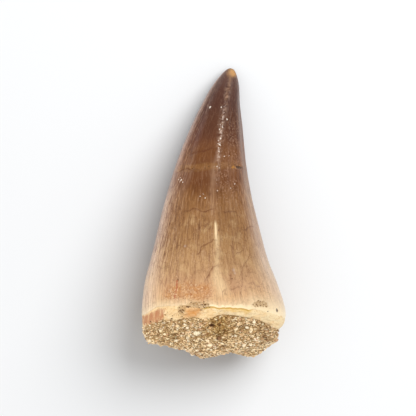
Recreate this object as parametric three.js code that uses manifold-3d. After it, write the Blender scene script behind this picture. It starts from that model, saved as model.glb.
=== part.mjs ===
// A fossil mosasaur tooth, lying on its side. It is made of two pieces:
//
//   crown   the curved conical tooth crown, with a keel (carina) along its upper and its lower left side.
//           It is broken off at the base, where the bevelled break shows the wall round its hollow.
//   matrix  the sandy phosphate rock that fills the hollow and bulges out of the break.
//
// Millimetres. +Y runs from the broken base to the tip, +Z is up, and the tooth lies on the plane z = 0.
// The origin is on that plane, under the centre of the tooth's box.

import * as THREE from "three";
import { mergeVertices } from "three/addons/utils/BufferGeometryUtils.js";
import Module from "manifold-3d";

const { clamp, lerp, smoothstep, degToRad, radToDeg } = THREE.MathUtils;

// ---------- driving dimensions ----------

// The crown's cross-section along its length: an oval, whose half-width and half-depth close at the tip.
const SECTIONS = [
  { y: -21.5, centreX: 0.0, halfWidth: 10.9, centreZ: 9.35, halfDepth: 9.3 },
  { y: -18.5, centreX: 0.0, halfWidth: 11.35, centreZ: 9.33, halfDepth: 9.45 },
  { y: -15.5, centreX: 0.06, halfWidth: 11.45, centreZ: 9.25, halfDepth: 9.55 },
  { y: -11.6, centreX: -0.36, halfWidth: 10.65, centreZ: 8.92, halfDepth: 9.27 },
  { y: -7.9, centreX: -0.69, halfWidth: 9.47, centreZ: 8.55, halfDepth: 8.78 },
  { y: -4.4, centreX: -0.77, halfWidth: 8.56, centreZ: 8.17, halfDepth: 8.13 },
  { y: 3.0, centreX: -0.75, halfWidth: 6.72, centreZ: 7.05, halfDepth: 6.55 },
  { y: 10.0, centreX: -0.07, halfWidth: 5.04, centreZ: 5.4, halfDepth: 4.81 },
  { y: 16.8, centreX: 1.14, halfWidth: 3.15, centreZ: 3.32, halfDepth: 2.95 },
  { y: 20.5, centreX: 2.09, halfWidth: 1.97, centreZ: 1.98, halfDepth: 1.93 },
  { y: 23.25, centreX: 2.78, halfWidth: 0.0, centreZ: 1.15, halfDepth: 0.0 },
];
const TIP_Y = SECTIONS.at(-1).y;

const BASEWARD = new THREE.Vector3(0, -1, 0);

// Angles round the crown are in degrees: 0 is +X, the right, and 90 is +Z, the top.
const KEELS = [80, 232];
const KEEL_SHOULDER = { height: 0.3, width: 2.6 }; // the low swell that carries the keel
const KEEL_CREST = { height: 0.3, width: 0.42 }; // the sharp line on the swell
const KEEL_CHIPS = { depth: 0.16, pitch: 2.3 }; // wear chips along the crest
const KEEL_REACH = { gone: -15, full: -9, runOut: 4 }; // heights near the base, and a length at the tip
const FACETS = { count: 9, depth: 0.09, turn: 40 }; // the soft flats of the enamel
const FACET_REACH = { gone: -15, full: -8, runOut: 12 };
const ENAMEL_STEP = 0.22; // the enamel ends in a step this high

// Where the enamel stops, round the crown, as [degrees, y].
const ENAMEL_EDGE = [
  [0, -16.9], [20, -16.5], [40, -15.9], [60, -15.3], [80, -15.05], [100, -15.0], [120, -14.8],
  [138, -15.0], [160, -16.0], [180, -16.7], [205, -17.6], [230, -18.3], [270, -18.5], [310, -18.0],
  [340, -17.4],
];
// The outer edge of the break, as [degrees, y].
const BREAK_EDGE = [
  [0, -18.0], [20, -17.2], [40, -16.4], [60, -15.7], [80, -15.4], [100, -15.35], [120, -15.55],
  [135, -16.2], [150, -17.4], [162, -18.9], [175, -20.0], [190, -20.4], [210, -20.2], [235, -19.7],
  [270, -19.4], [310, -19.0], [340, -18.4],
];
// The inner edge of the break, at the mouth of the hollow, as [degrees, y].
const MOUTH_EDGE = [
  [0, -19.4], [20, -18.3], [40, -17.2], [60, -16.6], [82, -16.2], [95, -16.9], [110, -16.8],
  [130, -17.4], [148, -18.3], [160, -19.4], [172, -20.4], [190, -20.75], [210, -20.6], [235, -20.2],
  [270, -19.8], [310, -19.6], [340, -19.6],
];
const WALL_SHARE = 0.14; // the wall at the mouth, as a share of the section
const HOLLOW = { endY: -12.9, bluntness: 2 }; // 1 gives it a pointed end, and more a blunter one
const BREAK_RELIEF = 0.2; // how far the break's roughness reaches

// The rock's outer edge, as [degrees, share of the section] and [degrees, y].
// It covers most of the break below, and leaves it bare above and at the sides.
const ROCK_REACH = [
  [0, 0.905], [20, 0.86], [60, 0.83], [90, 0.84], [105, 0.85], [125, 0.86], [145, 0.88], [160, 0.915],
  [175, 0.93], [190, 0.935], [210, 0.94], [270, 0.95], [310, 0.95], [340, 0.935],
];
const ROCK_EDGE = [
  [0, -20.2], [20, -19.1], [40, -17.5], [60, -16.8], [82, -16.4], [95, -17.1], [110, -17.0],
  [130, -17.7], [150, -18.9], [165, -20.1], [180, -20.8], [200, -20.95], [225, -20.9], [250, -20.9],
  [270, -20.9], [300, -21.3], [325, -21.4], [345, -20.8],
];
const ROCK_FACE = { y: -22.45, fullness: 1.75 }; // its middle, and 1 for a cone or more for a fuller dome
const ROCK_RIM_RELIEF = 0.4; // the relief at the rock's rim, as a share of that on its face
// Broad lumps (height > 0) and hollows (height < 0) of the rock's face.
const ROCK_LUMPS = [
  { x: -1.1, z: 5.0, radius: 2.2, height: 1.1 },
  { x: 6.5, z: 5.4, radius: 2.2, height: 1.35 },
  { x: 2.4, z: 7.5, radius: 1.4, height: -0.3 },
  { x: -7.4, z: 5.6, radius: 2.6, height: -0.75 },
  { x: -7.8, z: 9.2, radius: 1.7, height: -0.4 },
  { x: -4.7, z: 10.0, radius: 1.1, height: -0.45 },
  { x: -3.0, z: 5.6, radius: 1.2, height: 0.25 },
  { x: -4.6, z: 12.4, radius: 1.7, height: 0.45 },
  { x: 9.0, z: 6.4, radius: 1.5, height: -0.55 },
  { x: 1.0, z: 14.4, radius: 1.6, height: -0.7 },
  { x: 6.2, z: 12.4, radius: 1.8, height: 0.35 },
];
const PEBBLES = { size: 1.6, height: 0.6 }; // the small lumps all over the rock
const SEAT_GAP = 0.3; // between the rock and the crown

// The tip is worn to a small flat facet: its outward direction, and its distance from the origin along it.
const TIP_WEAR = { direction: new THREE.Vector3(0.3, 0.78, 0.55).normalize(), distance: 19.58 };

// Mesh fineness.
const CROWN_MESH = { around: 62, enamelRows: 36, hollowRows: 4, keelCrowding: 0.6, tipCrowding: 1.35 };
const ROCK_MESH = { detail: 11, faceShare: 0.62, sideShare: 0.14 }; // shares of the turn from -Y to +Y

// ---------- curves and noise ----------

const wrap = (degrees) => ((degrees % 360) + 360) % 360;
const bell = (distance, width) => Math.exp(-((distance / width) ** 2));

// A smooth curve (cubic Hermite) through [position, value] pairs in rising order.
function curveThrough(pairs) {
  const last = pairs.length - 1;
  const slopes = pairs.map((_, i) => {
    const [before, after] = [pairs[Math.max(i - 1, 0)], pairs[Math.min(i + 1, last)]];
    return (after[1] - before[1]) / (after[0] - before[0]);
  });
  return (position) => {
    const i = clamp(pairs.findLastIndex(([p]) => p <= position), 0, last - 1);
    const [[p0, v0], [p1, v1]] = [pairs[i], pairs[i + 1]];
    const step = p1 - p0;
    const t = clamp((position - p0) / step, 0, 1);
    const rise = t * t * (3 - 2 * t);
    return lerp(v0, v1, rise) + step * t * (1 - t) * ((1 - t) * slopes[i] - t * slopes[i + 1]);
  };
}

// The same round a full turn, through [degrees, value] pairs.
function ringThrough(pairs) {
  const turned = ([degrees, value], turn) => [degrees + turn, value];
  const curve = curveThrough([
    turned(pairs.at(-2), -360),
    turned(pairs.at(-1), -360),
    ...pairs,
    turned(pairs[0], 360),
    turned(pairs[1], 360),
  ]);
  return (degrees) => curve(wrap(degrees));
}

// The squares of the half-width and half-depth run straight to nothing, which makes the tip round.
const along = (key, power = 1) => curveThrough(SECTIONS.map((s) => [s.y, s[key] ** power]));
const centreX = along("centreX");
const centreZ = along("centreZ");
const squaredWidth = along("halfWidth", 2);
const squaredDepth = along("halfDepth", 2);
const halfWidth = (y) => Math.sqrt(Math.max(squaredWidth(y), 0));
const halfDepth = (y) => Math.sqrt(Math.max(squaredDepth(y), 0));
const meanRadius = (y) => (halfWidth(y) + halfDepth(y)) / 2;
const enamelEdge = ringThrough(ENAMEL_EDGE);
const breakEdge = ringThrough(BREAK_EDGE);
const mouthEdge = ringThrough(MOUTH_EDGE);
const rockReach = ringThrough(ROCK_REACH);
const rockEdge = ringThrough(ROCK_EDGE);

// A point of the section at height y. Share 1 is its outside, 0 is its middle, and out stands clear of it.
function sectionPoint(degrees, y, share = 1, out = 0) {
  const clear = out * Math.min(1, meanRadius(y) / 2);
  const angle = degToRad(degrees);
  return [
    centreX(y) + (halfWidth(y) * share + clear) * Math.cos(angle),
    y,
    centreZ(y) + (halfDepth(y) * share + clear) * Math.sin(angle),
  ];
}

// A repeatable number from 0 to 1 for a whole-numbered cell.
function cellNumber(i, j, k, salt) {
  const mixed = Math.sin(i * 127.1 + j * 311.7 + k * 74.7 + salt * 53.3) * 43758.5453;
  return mixed - Math.floor(mixed);
}

// The distance to the nearest of the points scattered one to a cell: 0 on a point, about 1 between them.
function nearestPebble(x, y, z) {
  const [ci, cj, ck] = [x, y, z].map(Math.floor);
  let nearest = Infinity;
  for (const i of [ci - 1, ci, ci + 1])
    for (const j of [cj - 1, cj, cj + 1])
      for (const k of [ck - 1, ck, ck + 1]) {
        const [px, py, pz] = [1, 2, 3].map((salt) => cellNumber(i, j, k, salt));
        nearest = Math.min(nearest, Math.hypot(i + px - x, j + py - y, k + pz - z));
      }
  return nearest;
}

// Small rough relief, from about -1 to 1, of broken tooth.
const brokenRelief = (degrees, across) =>
  0.5 * Math.sin(degToRad(17 * degrees) + 2.1 * across) +
  0.5 * Math.sin(degToRad(26 * degrees) - 3.7 * across);

// ---------- crown ----------

// How fully a feature shows at height y, from 0 to 1.
const reachShare = ({ gone, full, runOut }, y) =>
  smoothstep(y, gone, full) * smoothstep(TIP_Y - y, 0, runOut);

// How far the enamel stands out of the plain oval section.
function enamelRelief(degrees, y) {
  const keelShare = reachShare(KEEL_REACH, y);
  const facetTurn = degToRad(degrees * FACETS.count + FACETS.turn);
  let height = FACETS.depth * reachShare(FACET_REACH, y) * Math.cos(facetTurn);
  for (const keel of KEELS) {
    const distance = degToRad(wrap(degrees - keel + 180) - 180) * meanRadius(y);
    const wave = Math.sin((y / KEEL_CHIPS.pitch) * 2 * Math.PI + keel);
    const crest = KEEL_CREST.height - KEEL_CHIPS.depth * Math.max(0, wave) ** 4;
    height += KEEL_SHOULDER.height * keelShare * bell(distance, KEEL_SHOULDER.width);
    height += crest * keelShare * bell(distance, KEEL_CREST.width);
  }
  return height;
}

// The steps round the crown crowd at the keels, and one runs along each.
function stepDegrees(step) {
  const half = CROWN_MESH.around / 2;
  const [from, to] = step < half ? KEELS : [KEELS[1], KEELS[0] + 360];
  const t = (step % half) / half;
  return lerp(from, to, t - (CROWN_MESH.keelCrowding * Math.sin(2 * Math.PI * t)) / (2 * Math.PI));
}

// The crown's rings, from the tip down the enamel, over the break and into the hollow. A gap above 0 gives
// the crown grown by that much, which is what the rock is cut by.
function crownRings(gap) {
  const rings = [];
  const addRing = (pointAt) =>
    rings.push(Array.from({ length: CROWN_MESH.around }, (_, step) => pointAt(stepDegrees(step))));

  for (let row = 1; row <= CROWN_MESH.enamelRows; row++)
    addRing((degrees) => {
      const down = (row / CROWN_MESH.enamelRows) ** CROWN_MESH.tipCrowding;
      const y = lerp(TIP_Y, enamelEdge(degrees), down);
      return sectionPoint(degrees, y, 1, enamelRelief(degrees, y) + gap);
    });
  addRing((degrees) => sectionPoint(degrees, enamelEdge(degrees) - 0.12, 1, gap - ENAMEL_STEP));
  addRing((degrees) => sectionPoint(degrees, breakEdge(degrees) - gap, 1, gap - ENAMEL_STEP * 1.5));

  for (const across of [0.35, 0.7])
    addRing((degrees) => {
      const y = lerp(breakEdge(degrees), mouthEdge(degrees), across) - gap;
      const rough = BREAK_RELIEF * brokenRelief(degrees, across * 3);
      return sectionPoint(degrees, y + rough, 1 - WALL_SHARE * across, -ENAMEL_STEP);
    });
  for (let row = 0; row < CROWN_MESH.hollowRows; row++)
    addRing((degrees) => {
      const into = row / CROWN_MESH.hollowRows;
      const y = lerp(mouthEdge(degrees), HOLLOW.endY, into) - gap;
      return sectionPoint(degrees, y, (1 - WALL_SHARE) * Math.sqrt(1 - into ** HOLLOW.bluntness), -gap);
    });
  return {
    rings,
    start: [centreX(TIP_Y), TIP_Y + gap, centreZ(TIP_Y)],
    end: [centreX(HOLLOW.endY), HOLLOW.endY - gap, centreZ(HOLLOW.endY)],
  };
}

// A closed surface over rings of points, with a point at each end.
function surfaceOver({ rings, start, end }) {
  const around = rings[0].length;
  const at = (ring, step) => 1 + ring * around + (step % around);
  const last = 1 + rings.length * around;
  const index = [];
  for (let step = 0; step < around; step++) {
    index.push(0, at(0, step + 1), at(0, step));
    index.push(last, at(rings.length - 1, step), at(rings.length - 1, step + 1));
    for (let ring = 0; ring < rings.length - 1; ring++) {
      const [a, b] = [at(ring, step), at(ring, step + 1)];
      const [c, d] = [at(ring + 1, step + 1), at(ring + 1, step)];
      index.push(a, b, c, a, c, d);
    }
  }
  const geometry = new THREE.BufferGeometry();
  const points = [start, ...rings.flat(), end];
  geometry.setAttribute("position", new THREE.Float32BufferAttribute(points.flat(), 3));
  geometry.setIndex(index);
  return geometry;
}

// ---------- matrix ----------

// How far the rock's face stands out beyond its dome.
function rockRelief(x, y, z) {
  const broad = ROCK_LUMPS.reduce(
    (sum, lump) => sum + lump.height * bell(Math.hypot(x - lump.x, z - lump.z), lump.radius), 0);
  const hollowness = nearestPebble(x / PEBBLES.size, y / PEBBLES.size, z / PEBBLES.size);
  return broad + PEBBLES.height * (0.55 - hollowness);
}

// A point of the rock before it is cut to the crown, for a direction from its middle. Turning from -Y
// towards +Y it goes over the domed face, along the side, and over an end that lies past the hollow's.
function rockPoint(direction) {
  const degrees = wrap(radToDeg(Math.atan2(direction.z, direction.x)));
  const turn = direction.angleTo(BASEWARD) / Math.PI;
  const reach = rockReach(degrees);
  if (turn < ROCK_MESH.faceShare) {
    const share = turn / ROCK_MESH.faceShare;
    const y = lerp(ROCK_FACE.y, rockEdge(degrees), share ** ROCK_FACE.fullness);
    const [x, , z] = sectionPoint(degrees, y, reach * share);
    return [x, y - rockRelief(x, y, z) * lerp(1, ROCK_RIM_RELIEF, share ** 6), z];
  }
  const down = (turn - ROCK_MESH.faceShare) / ROCK_MESH.sideShare;
  const inside = breakEdge(degrees) + 1;
  if (down < 1) return sectionPoint(degrees, lerp(rockEdge(degrees), inside, down), reach);
  const share = (1 - turn) / (1 - ROCK_MESH.faceShare - ROCK_MESH.sideShare);
  return sectionPoint(degrees, lerp(HOLLOW.endY + 1, inside, share ** 4), reach * share);
}

function makeRockBlank() {
  const sphere = new THREE.IcosahedronGeometry(1, ROCK_MESH.detail);
  sphere.deleteAttribute("normal");
  sphere.deleteAttribute("uv");
  const geometry = mergeVertices(sphere, 1e-5);
  const { position } = geometry.attributes;
  for (let i = 0; i < position.count; i++)
    position.setXYZ(i, ...rockPoint(new THREE.Vector3().fromBufferAttribute(position, i)));
  return geometry;
}

// ---------- solids ----------

const wasm = await Module();
wasm.setup();

function toSolid(geometry) {
  return new wasm.Manifold(
    new wasm.Mesh({
      numProp: 3,
      vertProperties: geometry.attributes.position.array,
      triVerts: new Uint32Array(geometry.index.array),
    }),
  );
}

function toGeometry(solid) {
  const { vertProperties, triVerts } = solid.getMesh();
  const geometry = new THREE.BufferGeometry();
  geometry.setAttribute("position", new THREE.BufferAttribute(new Float32Array(vertProperties), 3));
  geometry.setIndex(new THREE.BufferAttribute(new Uint32Array(triVerts), 1));
  geometry.computeVertexNormals();
  return geometry;
}

function makeCrown() {
  const inward = TIP_WEAR.direction.clone().negate().toArray();
  const whole = toSolid(surfaceOver(crownRings(0)));
  return whole.trimByPlane([0, 0, 1], 0).trimByPlane(inward, -TIP_WEAR.distance);
}

function makeMatrix() {
  const crownWithGap = toSolid(surfaceOver(crownRings(SEAT_GAP)));
  const pieces = toSolid(makeRockBlank()).subtract(crownWithGap).decompose();
  return pieces.reduce((largest, piece) => (piece.volume() > largest.volume() ? piece : largest));
}

function namedMesh(name, solid, material) {
  const mesh = new THREE.Mesh(toGeometry(solid), new THREE.MeshStandardMaterial(material));
  mesh.name = name;
  return mesh;
}

const tooth = new THREE.Group();
tooth.add(namedMesh("crown", makeCrown(), { color: 0xa9764d, roughness: 0.3, metalness: 0 }));
tooth.add(namedMesh("matrix", makeMatrix(), { color: 0xa38d66, roughness: 0.9, metalness: 0 }));

export default tooth;
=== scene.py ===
"""A fossil mosasaur tooth lying on its side: its curved crown, and the sandy rock that fills the broken base.

Lengths are in millimetres until a mesh is made, and in metres in every finished object. +Y runs from the
broken base to the tip, +Z is up, and the tooth lies on z = 0.
"""

import logging
import math
from dataclasses import dataclass, field
from enum import Enum, IntEnum
from functools import cached_property
from typing import Any, Sequence

import bmesh
import bpy
import numpy as np
from mathutils import Matrix, Vector
from mathutils.bvhtree import BVHTree


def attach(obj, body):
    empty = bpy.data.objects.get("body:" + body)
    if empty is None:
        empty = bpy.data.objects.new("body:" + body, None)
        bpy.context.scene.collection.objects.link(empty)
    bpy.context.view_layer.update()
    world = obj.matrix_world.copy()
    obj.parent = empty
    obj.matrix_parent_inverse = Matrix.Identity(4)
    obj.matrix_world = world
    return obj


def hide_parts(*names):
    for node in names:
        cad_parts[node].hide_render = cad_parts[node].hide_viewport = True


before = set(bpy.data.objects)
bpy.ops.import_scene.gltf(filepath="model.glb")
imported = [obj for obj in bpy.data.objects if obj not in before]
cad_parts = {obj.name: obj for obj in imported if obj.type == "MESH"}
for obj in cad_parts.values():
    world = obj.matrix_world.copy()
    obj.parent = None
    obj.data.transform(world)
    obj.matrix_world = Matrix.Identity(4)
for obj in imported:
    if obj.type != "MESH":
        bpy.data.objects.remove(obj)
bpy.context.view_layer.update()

log = logging.getLogger("tooth")

MM = 0.001
BODY = "root"

Array = np.ndarray
Pair = tuple[float, float]
Pairs = Sequence[Pair]
Triple = tuple[float, float, float]
Span = tuple[float, float, float, float]
Spots = Sequence[Triple]
Tones = Sequence[tuple[float, str]]


# ---------- curves and noise ----------


def smoothstep(value: Array, low: float, high: float) -> Array:
    """Rises smoothly from 0 at low to 1 at high, or falls where low is the larger."""
    t = np.clip((value - low) / (high - low), 0, 1)
    return t * t * (3 - 2 * t)


def span(value: Array, start: float, full: float, fade: float, end: float) -> Array:
    """Rises from start to full, and falls from fade to end."""
    return smoothstep(value, start, full) * smoothstep(value, end, fade)


def bell(distance: Array, width: float) -> Array:
    """A bell curve, 1 at no distance."""
    return np.exp(-((distance / width) ** 2))


def between(low: Array, high: Array, share: Array) -> Array:
    """The value at a share of the way from low to high."""
    return low + (high - low) * share


def turned(degrees: Array, centre: float) -> Array:
    """Degrees away from a centre direction, from -180 to 180."""
    return (degrees - centre + 180) % 360 - 180


def circle(degrees: Array, radius: Array, height: Array) -> Array:
    """Points on a circle, or on a tube where the radius and the height vary."""
    angle = np.radians(degrees)
    return np.stack(np.broadcast_arrays(radius * np.cos(angle), radius * np.sin(angle), height), axis=-1)


class SmoothCurve:
    """A cubic Hermite curve through points in rising order."""

    def __init__(self, pairs: Pairs) -> None:
        """Works out the slope at each point.

        Args:
            pairs: The places and the values there.
        """
        self.places, self.values = np.array(pairs, float).T
        before = np.maximum(np.arange(len(pairs)) - 1, 0)
        after = np.minimum(np.arange(len(pairs)) + 1, len(pairs) - 1)
        rise = self.values[after] - self.values[before]
        self.slopes = rise / (self.places[after] - self.places[before])

    def __call__(self, place: Array) -> Array:
        """Finds the curve's value.

        Args:
            place: Where on the curve. Past an end, the value is that of the end.

        Returns:
            The value at each place.
        """
        i = np.clip(np.searchsorted(self.places, place, side="right") - 1, 0, len(self.places) - 2)
        step = self.places[i + 1] - self.places[i]
        t = np.clip((place - self.places[i]) / step, 0, 1)
        bend = t * (1 - t) * ((1 - t) * self.slopes[i] - t * self.slopes[i + 1])
        return between(self.values[i], self.values[i + 1], t * t * (3 - 2 * t)) + step * bend


class RingCurve(SmoothCurve):
    """The same round a full turn, through (degrees, value) pairs."""

    def __init__(self, pairs: Pairs) -> None:
        """Adds two points past each end of the turn.

        Args:
            pairs: Degrees in rising order, and the values there.
        """
        before = [(degrees - 360, value) for degrees, value in pairs[-2:]]
        after = [(degrees + 360, value) for degrees, value in pairs[:2]]
        super().__init__([*before, *pairs, *after])

    def __call__(self, place: Array) -> Array:
        """The ring's value at each direction, in degrees."""
        return super().__call__(place % 360)


class Salt(IntEnum):
    """Which of the many noises each relief takes."""

    SWELL = 3
    EDGE = 5
    STRIAE = 7
    TEETH = 9
    BREAK = 21
    STRIP = 31
    FACE = 37
    DUST = 41
    DRIFT = 51
    FINE_DRIFT = 53
    NUGGET_X = 61
    NUGGET_Y = 63
    NUGGET_Z = 65


# The steps and the scale that scatter a cell's number, and how far each octave is moved from the last.
HASH_STEPS = np.array([127.1, 311.7, 74.7])
HASH_SALT_STEP = 53.3
HASH_SCALE = 43758.5453
OCTAVE_SHIFT = 17.3


def cell_number(cells: Array, salt: int) -> Array:
    """Gives each whole-numbered cell a repeatable number from 0 to 1.

    Args:
        cells: Whole numbers, three to a cell in the last axis.
        salt: Picks one of the many numbers that a cell has.

    Returns:
        One number for each cell.
    """
    mixed = np.sin(cells @ HASH_STEPS + salt * HASH_SALT_STEP) * HASH_SCALE
    return mixed - np.floor(mixed)


def soft_noise(points: Array, salt: Salt, octaves: int = 1) -> Array:
    """Smooth noise, from about -1 to 1.

    Args:
        points: Points, with cells one unit wide.
        salt: Which noise.
        octaves: How many layers, each half as large and half as strong as the last.

    Returns:
        One number for each point.
    """
    total = np.zeros(points.shape[:-1])
    for octave in range(octaves):
        scaled = points * 2**octave + octave * OCTAVE_SHIFT
        cell = np.floor(scaled)
        share = scaled - cell
        share = share * share * (3 - 2 * share)
        for corner in np.ndindex(2, 2, 2):
            weight = np.prod(np.where(np.array(corner, bool), share, 1 - share), axis=-1)
            total += weight * (2 * cell_number(cell + corner, salt + octave) - 1) / 2**octave
    return total


def pebble_distance(points: Array) -> Array:
    """Measures how far the nearest pebble is, where one lies in each cell.

    Args:
        points: Points, with cells one unit wide.

    Returns:
        The distances: 0 in the middle of a pebble, and about 1 between them.
    """
    cell = np.floor(points)
    nearest = np.full(points.shape[:-1], np.inf)
    for step in np.ndindex(3, 3, 3):
        near = cell + np.array(step) - 1
        pebble = near + np.stack([cell_number(near, salt) for salt in (1, 2, 3)], axis=-1)
        nearest = np.minimum(nearest, np.linalg.norm(pebble - points, axis=-1))
    return nearest


# ---------- the tooth's form, as in the solids ----------


class Side(Enum):
    """Which side of the crown something is on, seen from above."""

    TOP = 1
    UNDER = -1


@dataclass(frozen=True)
class Section:
    """One oval cross-section of the crown."""

    y: float
    centre_x: float
    half_width: float
    centre_z: float
    half_depth: float


@dataclass(frozen=True)
class Reach:
    """Where a feature shows: from none at gone to all at full, and running out at the tip."""

    gone: float
    full: float
    run_out: float


@dataclass(frozen=True)
class Keel:
    """The carina: a low swell with a sharp, chipped crest."""

    degrees: float
    swell_height: float = 0.3
    swell_width: float = 2.6
    crest_height: float = 0.3
    crest_width: float = 0.42
    chip_depth: float = 0.16
    chip_pitch: float = 2.3
    chip_sharpness: int = 4


@dataclass(frozen=True)
class ToothForm:
    """The sizes and curves that the crown and the rock share."""

    sections: tuple[Section, ...] = (
        Section(-21.5, 0.0, 10.9, 9.35, 9.3),
        Section(-18.5, 0.0, 11.35, 9.33, 9.45),
        Section(-15.5, 0.06, 11.45, 9.25, 9.55),
        Section(-11.6, -0.36, 10.65, 8.92, 9.27),
        Section(-7.9, -0.69, 9.47, 8.55, 8.78),
        Section(-4.4, -0.77, 8.56, 8.17, 8.13),
        Section(3.0, -0.75, 6.72, 7.05, 6.55),
        Section(10.0, -0.07, 5.04, 5.4, 4.81),
        Section(16.8, 1.14, 3.15, 3.32, 2.95),
        Section(20.5, 2.09, 1.97, 1.98, 1.93),
        Section(23.25, 2.78, 0.0, 1.15, 0.0),
    )
    keels: tuple[Keel, ...] = (Keel(80), Keel(232))
    keel_reach: Reach = Reach(-15, -9, 4)
    facet_reach: Reach = Reach(-15, -8, 12)
    facet_count: int = 9
    facet_depth: float = 0.09
    facet_turn: float = 40
    enamel_step: float = 0.22
    enamel_edge: Pairs = (
        (0, -16.9), (20, -16.5), (40, -15.9), (60, -15.3), (80, -15.05), (100, -15.0), (120, -14.8),
        (138, -15.0), (160, -16.0), (180, -16.7), (205, -17.6), (230, -18.3), (270, -18.5), (310, -18.0),
        (340, -17.4),
    )
    break_edge: Pairs = (
        (0, -18.0), (20, -17.2), (40, -16.4), (60, -15.7), (80, -15.4), (100, -15.35), (120, -15.55),
        (135, -16.2), (150, -17.4), (162, -18.9), (175, -20.0), (190, -20.4), (210, -20.2), (235, -19.7),
        (270, -19.4), (310, -19.0), (340, -18.4),
    )
    mouth_edge: Pairs = (
        (0, -19.4), (20, -18.3), (40, -17.2), (60, -16.6), (82, -16.2), (95, -16.9), (110, -16.8),
        (130, -17.4), (148, -18.3), (160, -19.4), (172, -20.4), (190, -20.75), (210, -20.6), (235, -20.2),
        (270, -19.8), (310, -19.6), (340, -19.6),
    )
    wall_share: float = 0.14
    hollow_end: float = -12.9
    break_relief: float = 0.2
    break_waves: Pairs = ((17, 2.1), (26, -3.7))
    tip_wear_direction: Triple = (0.3, 0.78, 0.55)
    tip_wear_distance: float = 19.58
    relief_from: float = 4.0
    top_clearance: float = 0.2

    def __post_init__(self) -> None:
        """Makes the curves through the sizes."""
        for name, power in (("centre_x", 1), ("centre_z", 1), ("half_width", 2), ("half_depth", 2)):
            pairs = [(section.y, getattr(section, name) ** power) for section in self.sections]
            object.__setattr__(self, f"{name}_curve", SmoothCurve(pairs))
        for name in ("enamel_edge", "break_edge", "mouth_edge"):
            object.__setattr__(self, f"{name}_ring", RingCurve(getattr(self, name)))

    @property
    def tip_y(self) -> float:
        """The height of the unworn tip."""
        return self.sections[-1].y

    def half_sizes(self, y: Array) -> tuple[Array, Array]:
        """The section's half-width and half-depth at height y."""
        curves = (self.half_width_curve, self.half_depth_curve)
        return tuple(np.sqrt(np.maximum(curve(y), 0)) for curve in curves)

    def mean_radius(self, y: Array) -> Array:
        """The section's mean radius at height y."""
        return sum(self.half_sizes(y)) / 2

    def section_point(self, degrees: Array, y: Array, share: Array = 1.0, out: Array = 0.0) -> Array:
        """Points of the sections.

        Args:
            degrees: The direction round the section, 0 at +X and 90 at +Z.
            y: The section's height.
            share: 1 on the section's outside and 0 at its middle.
            out: How far the point stands clear of that, which fades where the section is slim.

        Returns:
            The points, in the last axis.
        """
        degrees, y, share, out = np.broadcast_arrays(degrees, y, share, out)
        width, depth = self.half_sizes(y)
        clear = out * np.minimum(1, (width + depth) / self.relief_from)
        angle = np.radians(degrees)
        x = self.centre_x_curve(y) + (width * share + clear) * np.cos(angle)
        z = self.centre_z_curve(y) + (depth * share + clear) * np.sin(angle)
        return np.stack([x, y, z], axis=-1)

    def reach_share(self, reach: Reach, y: Array) -> Array:
        """How fully a feature shows at height y, from 0 to 1."""
        return smoothstep(y, reach.gone, reach.full) * smoothstep(self.tip_y - y, 0, reach.run_out)

    def keel_distance(self, keel: Keel, degrees: Array, y: Array) -> Array:
        """How far a point of the surface is from a keel, along the surface."""
        return np.radians(turned(degrees, keel.degrees)) * self.mean_radius(y)

    def enamel_relief(self, degrees: Array, y: Array) -> Array:
        """Works out the enamel's relief.

        Args:
            degrees: The direction of each point round the section.
            y: The height of each point.

        Returns:
            How far the enamel stands out of the plain oval section.
        """
        shown = self.reach_share(self.keel_reach, y)
        facets = np.cos(np.radians(degrees * self.facet_count + self.facet_turn))
        height = self.facet_depth * self.reach_share(self.facet_reach, y) * facets
        for keel in self.keels:
            distance = self.keel_distance(keel, degrees, y)
            wave = np.sin(y / keel.chip_pitch * 2 * math.pi + keel.degrees)
            crest = keel.crest_height - keel.chip_depth * np.maximum(0, wave) ** keel.chip_sharpness
            height = height + keel.swell_height * shown * bell(distance, keel.swell_width)
            height = height + crest * shown * bell(distance, keel.crest_width)
        return height

    def broken_relief(self, degrees: Array, across: Array) -> Array:
        """Rough relief, from about -1 to 1, of the broken wall."""
        waves = [np.sin(np.radians(count * degrees) + slant * across) for count, slant in self.break_waves]
        return sum(waves) / len(waves)

    def top_direction(self, x: Array, y: Array) -> Array:
        """The direction round the section, in degrees, of the upper surface over a point seen from above."""
        reach = self.half_sizes(y)[0] + self.top_clearance
        return np.degrees(np.arccos(np.clip((x - self.centre_x_curve(y)) / reach, -1, 1)))

    def enamel_point(self, x: Array, y: Array, side: Side = Side.TOP) -> Array:
        """The point of the enamel over or under a place."""
        direction = self.top_direction(x, y) * side.value
        return self.section_point(direction, y, 1, self.enamel_relief(direction, y))


# ---------- node trees ----------


def paint(code: str) -> tuple[float, float, float, float]:
    """Turns a colour as it is seen, such as a9764d, into the shader's linear one.

    Args:
        code: Two hexadecimal digits each of red, green and blue.

    Returns:
        The linear colour, with an alpha of 1.
    """
    shares = [int(code[i : i + 2], 16) / 255 for i in (0, 2, 4)]
    linear = [s / 12.92 if s <= 0.04045 else ((s + 0.055) / 1.055) ** 2.4 for s in shares]
    return (*linear, 1.0)


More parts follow.
